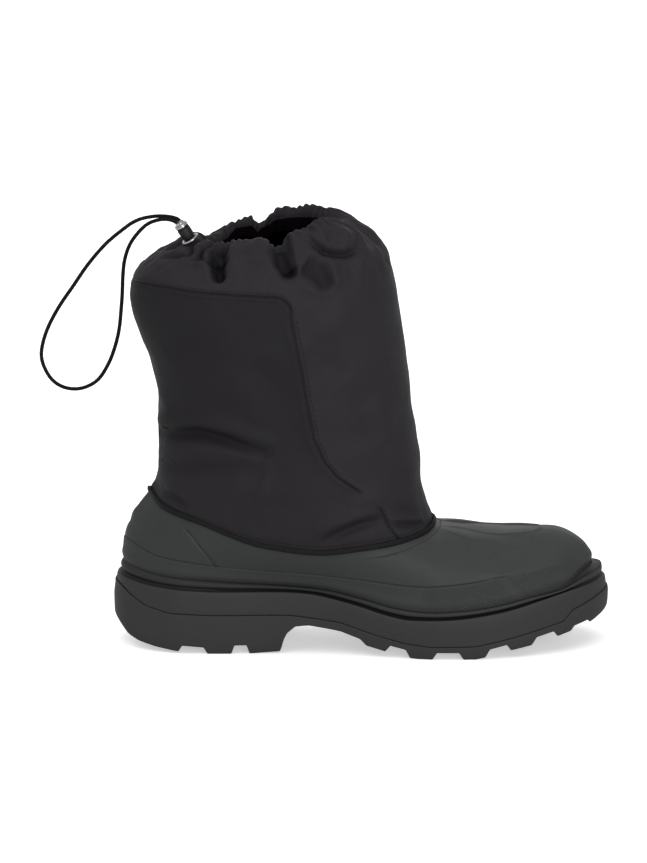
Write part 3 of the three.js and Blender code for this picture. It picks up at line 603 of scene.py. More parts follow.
def blendColour(tree, mask, low, high):
    # low and high are colours or sockets
    made = addNode(tree, "ShaderNodeMix", data_type="RGBA")
    tree.links.new(mask, made.inputs["Factor"])
    for socket, value in ((made.inputs[6], low), (made.inputs[7], high)):
        if isinstance(value, tuple):
            socket.default_value = value + (1.0,)
        else:
            tree.links.new(value, socket)
    return made.outputs[2]


def raiseBump(tree, surface, layers):
    # layers of (height socket, distance in metres, strength), each on top of the one before
    before = None
    for height, distance, strength in layers:
        made = addNode(tree, "ShaderNodeBump", {"Distance": distance, "Strength": strength})
        tree.links.new(height, made.inputs["Height"])
        if before is not None:
            tree.links.new(before, made.inputs["Normal"])
        before = made.outputs["Normal"]
    tree.links.new(before, surface.inputs["Normal"])


def shadeByMask(tree, colour, name, darkest):
    # paints shade into a colour: towards the darkest colour where the piece's own painted-shade mask is high
    mask = addNode(tree, "ShaderNodeAttribute", attribute_name=name)
    return blendColour(tree, mask.outputs["Fac"], colour, darkest)


def mapRange(tree, value, low, high, toLow, toHigh):
    ends = {"From Min": low, "From Max": high, "To Min": toLow, "To Max": toHigh}
    made = addNode(tree, "ShaderNodeMapRange", ends)
    tree.links.new(value, made.inputs["Value"])
    return made.outputs["Result"]


def rubberMaterial(name, base, lighter, roughness, grainSize, grainHeight, dust, knurled=False, withPaintedShade=False):
    material, tree, surface = startMaterial(name, {"Specular IOR Level": 0.3})
    where = addNode(tree, "ShaderNodeTexCoord")
    grain = placeGroup(tree, grainGroup, where.outputs["Object"], {"Grain Size": grainSize, "Patch Size": 0.035})
    settled = placeGroup(tree, dustGroup, where.outputs["Object"], {"Amount": dust, "Patch Size": 0.012})
    colour = blendColour(tree, grain.outputs["Patches"], base, lighter)
    colour = blendColour(tree, settled.outputs["Mask"], colour, (0.16, 0.165, 0.16))
    if withPaintedShade:
        # painted shade: near black where the mask is high
        colour = shadeByMask(tree, colour, "paintedShade", (0.012, 0.012, 0.012))
    tree.links.new(colour, surface.inputs["Base Color"])
    tree.links.new(mapRange(tree, grain.outputs["Patches"], 0.3, 0.7, roughness - 0.06, roughness + 0.06),
                   surface.inputs["Roughness"])
    layers = [(grain.outputs["Height"], grainHeight, 0.5)]
    if knurled:
        knurl = placeGroup(tree, knurlGroup, where.outputs["UV"], {"Pitch": 0.0022})
        mask = addNode(tree, "ShaderNodeAttribute", attribute_name="knurl")
        layers.append((mathNode(tree, "MULTIPLY", knurl.outputs["Height"], mask.outputs["Fac"]), 0.0018, 1.0))
    raiseBump(tree, surface, layers)
    return material


# base colour, lighter colour, roughness, grain size and height, dust
shellRubber = rubberMaterial(
    "shellRubber", (0.0374, 0.0402, 0.0390), (0.0461, 0.0496, 0.0480), 0.5, 0.0007, 0.00009, 0.12, knurled=True,
)
soleRubber = rubberMaterial(
    "soleRubber", (0.0390, 0.0375, 0.0375), (0.0482, 0.0460, 0.0465), 0.6, 0.0009, 0.00012, 0.1,
)
# midsole: painted shade from its own mask in the groove, the crevice under the shell and along the bead
midsoleRubber = rubberMaterial(
    "midsoleRubber", (0.0370, 0.0356, 0.0356), (0.0457, 0.0435, 0.0438), 0.56, 0.0008, 0.0001, 0.08, withPaintedShade=True,
)


def clothMaterial(name, base, lighter, roughness, thread, height, sheen, sheenTint, shine=0.16, withPaintedShade=False):
    finish = {"Sheen Weight": sheen, "Sheen Roughness": 0.4, "Sheen Tint": sheenTint + (1.0,)}
    material, tree, surface = startMaterial(name, {"Specular IOR Level": shine, **finish})
    where = addNode(tree, "ShaderNodeTexCoord")
    weave = placeGroup(tree, weaveGroup, where.outputs["UV"], {"Thread Width": thread})
    grain = placeGroup(tree, grainGroup, where.outputs["Object"], {"Grain Size": 0.004, "Patch Size": 0.06})
    colour = blendColour(tree, grain.outputs["Patches"], base, lighter)
    colour = blendColour(tree, mapRange(tree, weave.outputs["Slubs"], 0.55, 0.8, 0.0, 0.5), colour, lighter)
    if withPaintedShade:
        # painted shade: near black where the mask is high
        colour = shadeByMask(tree, colour, "paintedShade", (0.005, 0.0042, 0.005))
    tree.links.new(colour, surface.inputs["Base Color"])
    tree.links.new(mapRange(tree, grain.outputs["Patches"], 0.3, 0.7, roughness - 0.05, roughness + 0.05),
                   surface.inputs["Roughness"])
    raiseBump(tree, surface, [(grain.outputs["Height"], 0.0004, 0.35), (weave.outputs["Height"], height, 0.5)])
    return material


# base colour, lighter colour, roughness, thread width and height, sheen and its tint
# shaft: painted shade from its own mask in the fold hollows, under overhangs and over the heel panel
shaftNylon = clothMaterial(
    "shaftNylon", (0.0226, 0.0204, 0.0235), (0.0320, 0.0290, 0.0330), 0.55, 0.00045, 0.00006,
    0.02, (0.62, 0.56, 0.66), withPaintedShade=True,
)
# lining: very dark, partly its own dark colour and partly painted shade of the inside of the collar
collarLining = clothMaterial(
    "collarLining", (0.0035, 0.0022, 0.0024), (0.006, 0.004, 0.0042), 0.9, 0.0008, 0.0001,
    0.0, (0.5, 0.4, 0.4), shine=0.02,
)
bindingTape = clothMaterial(
    "bindingTape", (0.009, 0.0085, 0.009), (0.016, 0.015, 0.016), 0.6, 0.0009, 0.00015,
    0.05, (0.5, 0.5, 0.5),
)
insoleFelt = clothMaterial(
    "insoleFelt", (0.05, 0.05, 0.052), (0.085, 0.085, 0.088), 0.95, 0.0016, 0.0003,
    0.3, (0.6, 0.6, 0.6),
)
sewingThread = clothMaterial(
    "sewingThread", (0.012, 0.012, 0.013), (0.022, 0.021, 0.023), 0.55, 0.0003, 0.00008,
    0.1, (0.6, 0.6, 0.6),
)
braidedElastic = clothMaterial(
    "braidedElastic", (0.005, 0.005, 0.0055), (0.012, 0.012, 0.0125), 0.7, 0.0007, 0.0003,
    0.02, (0.5, 0.5, 0.5),
)


def hardMaterial(name, base, lighter, metallic, roughness, coat):
    material, tree, surface = startMaterial(
        name, {"Metallic": metallic, "Coat Weight": coat, "Coat Roughness": 0.15, "Specular IOR Level": 0.5}
    )
    where = addNode(tree, "ShaderNodeTexCoord")
    grain = placeGroup(tree, grainGroup, where.outputs["Object"], {"Grain Size": 0.0005, "Patch Size": 0.004})
    tree.links.new(blendColour(tree, grain.outputs["Patches"], base, lighter), surface.inputs["Base Color"])
    tree.links.new(mapRange(tree, grain.outputs["Patches"], 0.3, 0.7, roughness - 0.05, roughness + 0.07),
                   surface.inputs["Roughness"])
    raiseBump(tree, surface, [(grain.outputs["Height"], 0.00002, 0.3)])
    return material


brightMetal = hardMaterial("brightMetal", (0.74, 0.74, 0.73), (0.88, 0.88, 0.87), 1.0, 0.26, 0.0)
blackPlastic = hardMaterial("blackPlastic", (0.005, 0.005, 0.0055), (0.009, 0.009, 0.0095), 0.0, 0.48, 0.0)
print("materials ready")

# camera first, then the drawcord

view = {"target": (-0.0237, 0, 0.1388), "distance": 8, "elevation": 14, "height": 0.5593, "sensor": 36}


def makeCamera():
    data = bpy.data.cameras.new("camera")
    data.sensor_width = view["sensor"]
    data.lens = view["sensor"] * view["distance"] / view["height"]
    data.clip_start, data.clip_end = 0.1, 80
    camera = bpy.data.objects.new("camera", data)
    bpy.context.scene.collection.objects.link(camera)
    tilt = math.radians(view["elevation"])
    camera.location = Vector(view["target"]) + Vector((0, -math.cos(tilt), math.sin(tilt))) * view["distance"]
    camera.rotation_euler = (math.radians(90) - tilt, 0, 0)
    bpy.context.scene.camera = camera


makeCamera()

cord = {
    "diameter": 2.5,
    "sides": 12,
    "spacing": 2.4,
    "route": [  # from the lock out behind the boot and back
        (42.6, -12.3, 282.0), (41.4, -12, 282.9), (40.1, -12.1, 283.5), (36.3, -11.9, 284.4),
        (31.3, -11.7, 284.8), (26.7, -11.4, 284.6), (18, -11, 282.9), (11.5, -10.5, 279.8),
        (5.9, -10.1, 275.5), (-0.5, -9.6, 270.2), (-6.3, -9, 264.6), (-16.7, -8.6, 252),
        (-26.2, -8.1, 237.8), (-35.8, -7.7, 223.3), (-42.7, -7.4, 209.9), (-46.2, -7.1, 199),
        (-47.1, -7, 191), (-45.4, -6.9, 183.8), (-40.1, -7.1, 175), (-33.2, -7.3, 170.4),
        (-25.4, -7.6, 169.1), (-18.4, -7.9, 170.5), (-10.6, -8.3, 175.4), (-3.7, -8.7, 186.2),
        (0.6, -9.1, 197.7), (3.3, -9.5, 209.4), (4.6, -9.9, 222.1), (5.4, -10.3, 232.9),
        (5.9, -10.8, 245.6), (7.2, -11.2, 256.4), (11.1, -11.7, 267.2), (18.9, -12.1, 277.2),
        (23.2, -12.7, 280.5), (27.6, -13.5, 282.3), (32, -14.3, 283.3), (36.2, -14.8, 283.1),
        (39.0, -15.2, 282.3), (40.6, -15.3, 281.4),
    ],
}


def makeDrawcord():
    path, length = smoothPath(cord["route"], cord["spacing"])
    side, up = carriedFrames(path)
    radius = cord["diameter"] / 2
    place = np.concatenate([[0, 0], np.arange(len(path)), [len(path) - 1] * 2])
    grow = np.concatenate([[0, 0.8], np.ones(len(path)), [0.8, 0]]) * radius
    angle = np.linspace(0, 2 * math.pi, cord["sides"] + 1)
    ring = np.cos(angle)[None, :, None] * side[place][:, None] + np.sin(angle)[None, :, None] * up[place][:, None]
    points = path[place][:, None] + ring * grow[:, None, None]
    around, along = np.meshgrid(angle * radius / 1000, place * length / (len(path) - 1) / 1000)
    piece = gridPiece("drawcord_braid", points, [braidedElastic],
                      uv=np.stack([around + along * 0.6, along - around * 0.6], -1))
    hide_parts("drawcord")
    return piece


makeDrawcord()
print("camera and cord ready")

# cord lock and eyelet

lock = {
    "axis": (-0.52, -0.12, 0.846),
    "eyeletRadius": 4.9,
    "eyeletWire": 0.9,
    "barrelLift": 0.1,
    "barrelLength": 9.5,
    "barrel": [(0, 0), (2.4, 0), (3.0, 0.15), (3.5, 0.6), (4.0, 1.6), (4.25, 2.8), (4.3, 4.0), (4.3, 7.9),
               (4.15, 8.3), (3.9, 8.4), (3.9, 8.9), (4.1, 9.05), (4.0, 9.4), (3.6, 9.5), (0, 9.5)],
    "cap": [(0, 0), (3.6, 0), (4.1, 0.1), (4.5, 0.35), (4.6, 0.62), (4.5, 0.9), (4.05, 1.1), (3.85, 1.18),
            (4.1, 1.3), (4.25, 1.55), (4.2, 1.85), (3.9, 2.08), (3.3, 2.2), (3.1, 2.4), (3.0, 3.3),
            (2.75, 3.8), (2.3, 4.1), (1.2, 4.3), (0, 4.4)],
}


def spinPiece(name, profile, closed, centre, axis, material, steps=48):
    # turns a profile of (radius, height) round an axis that stands at the centre
    bm = bmesh.new()
    verts = [bm.verts.new((r, 0, z)) for r, z in profile]
    edges = [bm.edges.new(pair) for pair in zip(verts, verts[1:] + verts[:1] if closed else verts[1:])]
    bmesh.ops.spin(bm, geom=verts + edges, cent=(0, 0, 0), axis=(0, 0, 1), angle=2 * math.pi, steps=steps,
                   use_merge=True, use_duplicate=False)
    bmesh.ops.remove_doubles(bm, verts=bm.verts, dist=1e-3)
    bmesh.ops.recalc_face_normals(bm, faces=bm.faces)
    stand = Vector((0, 0, 1)).rotation_difference(Vector(axis)).to_matrix().to_4x4()
    bmesh.ops.transform(bm, matrix=Matrix.Translation(centre) @ stand @ Matrix.Scale(0.001, 4), verts=bm.verts)
    mesh = bpy.data.meshes.new(name)
    bm.to_mesh(mesh)
    bm.free()
    return newPiece(name, mesh, [material], 40)


def makeLock():
    low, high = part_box("eyelet")
    centre = (low + high) / 2
    axis = Vector(lock["axis"]).normalized()
    angles = np.linspace(0, 2 * math.pi, 15)[:-1]
    radius, thick = lock["eyeletRadius"], lock["eyeletWire"]
    wire = [(radius + thick * math.cos(a), thick * math.sin(a)) for a in angles]
    ring = spinPiece("eyelet_ring", wire, True, centre, axis, brightMetal)
    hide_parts("eyelet")
    foot = centre + axis * lock["barrelLift"] / 1000
    barrel = spinPiece("cord_lock_body", lock["barrel"], False, foot, axis, blackPlastic)
    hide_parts("cord_lock_barrel")
    top = foot + axis * (lock["barrelLength"] + jointGap) / 1000
    cap = spinPiece("cord_lock_plunger", lock["cap"], False, top, axis, brightMetal)
    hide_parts("cord_lock_cap")


makeLock()
print("cord lock ready")

# outsole, midsole and insole

lugs = {
    "gaps": [  # centre at the edge, width below and above, depth
        (50.6, 19, 14, 4.2), (81.6, 11.6, 8, 5.6), (183, 16, 10.6, 4.8), (215.8, 20.4, 14.4, 4.6),
        (248.6, 16.8, 11, 4.6), (279.2, 17.2, 11, 4.4), (302.2, 11.6, 8, 2.6),
    ],
    "sweep": [(0, 0), (120, 0), (170, 9), (258, 9), (279, 7), (302, 4), (318, 0)],  # how far the middle leads
    "channels": [(166, 292, 19, 6, 3.6), (14, 100, 0, 9, 3.6)],  # from, to, half spacing, width, depth
    "sipes": [(24, 0.9), (36, 0.9), (66, 0.9), (96, 0.9), (199.5, 1), (232, 1), (264, 1), (291, 0.9)],
    "outsoleWall": [
        (-0.35, 4.6), (-0.15, 2.4), (0, 1.2), (0.12, 0.6), (0.32, 0.25), (0.62, 0.05), (0.86, 0), (1.04, 0.5),
    ],
    "midsoleWall": [(0.1, 1.0), (0.34, 0.7), (0.66, 0.7), (0.93, 1.2), (1, 1.8)],
    "rim": [  # the bead above the side wall: part of its height, set-in
        (0.0, 2.0), (0.01, 3.2), (0.05, 4.6), (0.12, 5.2), (0.22, 5.1), (0.3, 4.5), (0.37, 3.8), (0.45, 3.4),
        (0.56, 3.2), (0.67, 3.3), (0.77, 3.6), (0.85, 4.05), (0.91, 4.6), (0.955, 5.05), (0.965, 5.3), (0.94, 5.55),
    ],
    "softness": 0.45,
    "edgeIn": 0.5,  # how far the tread's edge is rounded in below the wall
    "edgeRound": 0.7,
    "sipeWidth": 0.55,
    "endSwell": 0.9,  # how far the lower wall stands out at the heel and toe
    "toeReach": 1.6,  # how much further the whole wall stands out at the toe
    "toeRimDrop": 3.0,  # how much lower the rim is round the toe
    "toeRimInset": (1.7, 0.25),  # the rim's set-in round the toe tip, and the share of its profile kept there
    "cupInset": 9.8,
    "insoleInset": 11,
}
outsoleWall, midsoleWall = (SmoothTable(*np.array(lugs[k], float).T) for k in ("outsoleWall", "midsoleWall"))
treadRows = np.array(sole["tread"], float).T
partingRows = np.array(sole["parting"], float).T
soften = np.linspace(-1, 1, 7)


def treadHeight(x):
    # lowest line of the lugs, with its corners softened
    return np.mean([np.interp(x + lugs["softness"] * 1.6 * k, *treadRows) for k in soften], 0)


def gapDepth(x):
    depth = 0
    for centre, wide, narrow, deep in lugs["gaps"]:
        slope = (wide - narrow) / 2
        taps = [np.clip((wide / 2 - abs(x - centre + lugs["softness"] * k)) / slope, 0, 1) for k in soften]
        depth = depth + deep * np.mean(taps, 0)
    return depth


def stationTurns():
    # places round the sole, close together at every lug wall, the same on both sides
    spots = [soleLength / 2 * (1 - math.cos(a)) for a in np.linspace(0, math.pi, 121)]
    for centre, wide, narrow, _ in lugs["gaps"]:
        for half in (wide / 2, narrow / 2):
            spots += [centre + side * (half + k) for side in (-1, 1) for k in (-0.9, -0.45, 0, 0.45, 0.9)]
    for x in (107.6, 109, 111.6, 117, 159, 163, 175.5, 234, 291, 297):
        spots += [x + k for k in (-0.8, 0, 0.8)]
    spots += [x + k for x, _ in lugs["sipes"] for k in (-0.8, -0.35, 0, 0.35, 0.8)]
    angles = np.sort(np.arccos(np.clip(1 - 2 * np.array(spots) / soleLength, -1, 1)))
    kept = [0.0]
    for a in angles:
        if a - kept[-1] > 0.0019 and math.pi - a > 0.0019:
            kept.append(a)
    kept = np.array(kept + [math.pi])
    x = soleLength / 2 * (1 - np.cos(kept))
    lateral = np.interp(kept, lateralEven[1], lateralEven[0]) / 2
    medial = 1 - np.interp(kept, medialEven[1], medialEven[0]) / 2
    return np.concatenate([lateral, medial[::-1][1:]]), np.concatenate([x, x[::-1][1:]])


def wallPoint(turn, z, table, extra=0.0):
    inset = np.zeros_like(turn)
    for _ in range(3):
        x = insetPoint(turn, inset)[..., 0]
        part = (z - underside(x)) / (wallTop(x) - underside(x))
        swell = lugs["endSwell"] * ((1 - smoothStep(2, 24, x)) + smoothStep(298, 314, x))
        inset = table(part) + extra - swell * (1 - smoothStep(0.5, 0.8, part))
        inset = inset - lugs["toeReach"] * smoothStep(290, 313, x)
    return np.concatenate([insetPoint(turn, inset), (z + 0 * turn)[..., None]], -1)


def crestOfRim(x):
    return rimTop(x) - lugs["toeRimDrop"] * smoothStep(262, 302, x)


def partingAt(turn, table, lift=0.0):
    z = np.full_like(turn, 20.0)
    for _ in range(5):
        x = wallPoint(turn, z, table)[..., 0]
        z = np.interp(x, *partingRows) + lift
    return z


def opposite(points):
    # the row's points taken from the other side of the sole
    return points[::-1]


def towardMiddle(points, f):
    # f = 1 at the edge, 0 half way to the point straight across
    return between((points + opposite(points)) / 2, points, f)


def makeOutsole():
    turn, station = stationTurns()
    sweepRows = np.array(lugs["sweep"], float).T
    lead = np.interp(station, *sweepRows)
    depth = gapDepth(station)
    high = partingAt(turn, outsoleWall)
    edge = wallPoint(turn, treadHeight(station) + depth, outsoleWall, lugs["edgeIn"])
    edge[:, 2] = np.minimum(treadHeight(edge[:, 0]) + depth, high - 1.5)
    rows = []
    for f in np.concatenate([np.linspace(0, 0.94, 40), [0.97, 0.99]]):
        row = towardMiddle(edge, f)
        row[:, 0] += lead * (1 - f)
        floor = treadHeight(row[:, 0]) + depth
        for start, end, place, wide, deep in lugs["channels"]:
            reach = smoothStep(start - 2, start + 2, row[:, 0]) * smoothStep(-end - 2, -end + 2, -row[:, 0])
            side = np.abs(np.abs(row[:, 1]) - place) if place else np.abs(row[:, 1])
            cut = np.clip((wide / 2 + 0.7 - side) / 1.4, 0, 1) * reach
            floor = np.maximum(floor, between(floor, treadHeight(row[:, 0]) + deep, cut))
        for centre, deep in lugs["sipes"]:
            slit = bump(station - centre, lugs["sipeWidth"]) * (1 - smoothStep(0.7, 0.86, f))
            floor = floor + deep * slit * (depth < 0.3)
        row[:, 2] = np.minimum(floor, high - 1.5)
        if f == 0:  # both halves meet along the middle
            row[:, 2] = (row[:, 2] + row[::-1, 2]) / 2
        rows.append(row)
    rows.append(edge)
    low, bend = edge[:, 2], lugs["edgeRound"]
    for h in (0.1, 0.3, bend):
        roundedIn = lugs["edgeIn"] * (1 - math.sqrt(1 - (1 - h / bend) ** 2))
        rows.append(wallPoint(turn, low + h, outsoleWall, roundedIn))
    for g in np.linspace(0, 1, 13)[1:-1]:
        rows.append(wallPoint(turn, between(low + bend, high - 0.6, g), outsoleWall))
    for h, extra in ((0.6, 0), (0.25, 0.02), (0.08, 0.07), (0, 0.2)):
        rows.append(wallPoint(turn, high - h, outsoleWall, extra))
    top = rows[-1]
    for f in (0.9, 0.5, 0):
        row = towardMiddle(top, f)
        row[:, 2] = np.interp(row[:, 0], *partingRows)
        rows.append(row)
    rows = np.array(rows)
    piece = gridPiece("outsole_tread", rows, [soleRubber], sharpAngle=50)
    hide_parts("outsole")


def ringColumns(count):
    return np.arange(count + 1) / count


def makeMidsole():
    turn = ringColumns(440)
    low = partingAt(turn, midsoleWall, jointGap)
    rows = []
    edge = wallPoint(turn, low, midsoleWall, 0.5)
    for f in (0, 0.5, 0.9, 1):
        row = towardMiddle(edge, f)
        row[:, 2] = np.interp(row[:, 0], *partingRows) + jointGap
        rows.append(row)
    rows[-1][:, 2] = low
    high = wallTop(outlinePoint(turn)[:, 0])
    for h, extra in ((0.1, 0.2), (0.3, 0.06), (0.6, 0)):
        rows.append(wallPoint(turn, low + h, midsoleWall, extra))
    for g in np.linspace(0, 1, 15)[1:-1]:
        rows.append(wallPoint(turn, between(low + 0.6, high - 0.7, g), midsoleWall))
    for h, extra in ((0.7, 0), (0.35, 0.08), (0.12, 0.25)):
        rows.append(wallPoint(turn, high - h, midsoleWall, extra))
    ends = endSetIn(outlinePoint(turn)[:, 0])
    toeTip = smoothStep(284, 312, outlinePoint(turn)[:, 0])
    beadFrom = len(rows)
    tipInset, kept = lugs["toeRimInset"]
    for part, inset in lugs["rim"]:
        tight = tipInset + kept * (inset - 3.2)  # round the toe tip the rim stands out nearly to the wall
        flat = insetPoint(turn, between(inset + ends * part, tight, toeTip))
        rows.append(np.concatenate([flat, between(wallTop(flat[:, 0]), crestOfRim(flat[:, 0]), part)[:, None]], -1))
    ledge = ledgeHeight(turn)
    for lift, inset in ((1.2, 5.6), (0, 5.65), (0, 9.4)):
        rows.append(np.concatenate([insetPoint(turn, inset + ends), (ledge + lift)[:, None]], -1))
    cup = insetPoint(turn, lugs["cupInset"] + ends)
    base = np.concatenate([cup, footbed(cup[:, 0])[:, None]], -1)
    for f in (1, 0.6, 0):
        row = towardMiddle(base, f)
        row[:, 2] = footbed(row[:, 0])
        rows.append(row)
    rows = np.array(rows)
    # painted shade: the groove under the bead and the crevice under the shell at full strength, the bead itself
    # darker towards the heel, all of it lighter at the heel end
    paintedShade = np.zeros(rows.shape[:2])
    along = rows[beadFrom, :, 0]
    for k, (part, _) in enumerate(lugs["rim"]):
        onBead = smoothStep(0.38, 0.45, part) * (1 - smoothStep(0.84, 0.93, part))
        paintedShade[beadFrom + k] = 1 - onBead * between(0.4, 0.85, smoothStep(120, 190, along))
    paintedShade[beadFrom:] *= between(0.62, 1, smoothStep(50, 130, along))
    paintedShade[beadFrom] = 0.3
    piece = gridPiece("midsole_sidewall", rows, [midsoleRubber], masks={"paintedShade": paintedShade},
                      sharpAngle=60)
    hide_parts("midsole")


def makeInsole():
    turn = ringColumns(240)
    ends = endSetIn(outlinePoint(turn)[:, 0])
    edge = insetPoint(turn, lugs["insoleInset"] + ends)
    crown = smoothStep(0, 6, np.linalg.norm(edge - opposite(edge), axis=1))  # the felt is flat at its two tips
    rows, uv = [], []
    for f, up in ((0, 0.3), (0.6, 0.3), (1, 0.3), (1.003, 1.6), (1, 3.2), (0.985, 3.9), (0.94, 4.15), (0.8, 3.9),
                  (0.6, 3.6), (0.4, 3.45), (0.2, 3.4), (0, 3.4)):
        row = towardMiddle(edge, f)
        lift = up if up < 3.3 and f >= 1 or up < 1 else 3.2 + (up - 3.2) * crown
        rows.append(np.concatenate([row, (footbed(row[:, 0]) + lift)[:, None]], -1))
        uv.append(row / 1000)
    piece = gridPiece("insole_felt", np.array(rows), [insoleFelt], uv=np.array(uv), sharpAngle=60)
    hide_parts("insole")


makeOutsole()
makeMidsole()
makeInsole()
print("sole ready")

# moulded shell

mould = {
    "columns": 470,
    "randLine": [  # x, z of the top of the thicker rubber above the sole, both sides
        (2, 69.8), (12, 68.6), (20, 65.3), (28, 62.2), (39, 61.0), (53, 58.9), (66, 57.6), (83, 56), (103, 54.4),
        (125, 53), (141, 51.5), (159, 50), (172, 48.6), (186, 47), (202, 46.2), (218, 47.3), (233, 49), (245, 51.4),
        (258, 53.6), (275, 56.2), (290, 59), (302, 61.5), (312, 63),
    ],
    "randStep": 0.4,
    "counterSeam": [(44, 84.3), (49, 79.5), (55, 71.8), (60, 65), (66, 57.5)],
    "topBand": (6.5, 158, 176),  # width below the topline, and where it fades in
    "spear": [
        (204, 6), (218, 7.4), (229, 9.6), (240, 12.4), (250, 13.2), (262, 11.4), (270, 8.2), (274, 4.6), (277, 0),
    ],
    "flank": [(212, 15), (227, 23), (246, 26), (258, 26.5), (264, 25)],
    "toeRidge": [(224, 64.2), (234, 60), (243, 55.5), (250, 52.5)],
    "strip": [(243.5, 57.5), (246, 55.8), (253, 48.3), (260, 39.7), (263, 36)],
    "pip": (224, 64.2),
}


def shellRowPlaces(turn):
    # for each column, places up the shell's curve (0..1): even below the rand line, even above it, fine at the top
    t = np.linspace(0, 1, 241)
    grid = shellPoint(np.broadcast_to(turn, (241, len(turn))), np.broadcast_to(t[:, None], (241, len(turn))))
    run = np.concatenate([np.zeros((1, len(turn))), np.cumsum(np.linalg.norm(np.diff(grid, axis=0), axis=2), 0)])
    randRows = np.array(mould["randLine"], float).T
    above = grid[..., 2] - np.interp(grid[..., 0], *randRows)
    places = []
    for j in range(len(turn)):
        crossing = np.argmax(above[:, j] > 0)
        a, b = above[crossing - 1, j], above[crossing, j]
        rand = run[crossing - 1, j] + (run[crossing, j] - run[crossing - 1, j]) * (-a / (b - a))
        full = run[-1, j]
        band = full - mould["topBand"][0]
        s = np.concatenate([
            np.linspace(0, rand - 0.5, 18), rand + np.array([-0.25, -0.05, 0.15, 0.35, 0.6]),
            np.linspace(rand + 0.9, band - 1.2, 76), band + np.array([-0.7, -0.35, 0, 0.35, 0.7]),
            np.linspace(band + 1.1, full - 0.6, 7), [full - 0.25, full],
        ])
        places.append((np.interp(s, run[:, j], t), s, s - rand, full - s))
    return [np.array(k).T for k in zip(*places)]


def sideLine(points, side, surface, down=False):
    # a line given in x and z (or x and half width, seen from above) brought onto one side of a grid of points
    flat = surface.reshape(-1, 3)
    keep = flat[flat[:, 1] * side >= -0.5]
    found = []
    for a, b in points:
        seen = keep[:, [0, 1]] * [1, side] if down else keep[:, [0, 2]]
        order = np.argsort(((seen - [a, b]) ** 2).sum(1))[:4]
        found.append(keep[order].mean(0))
    return smoothPath(found, 1.0)[0]


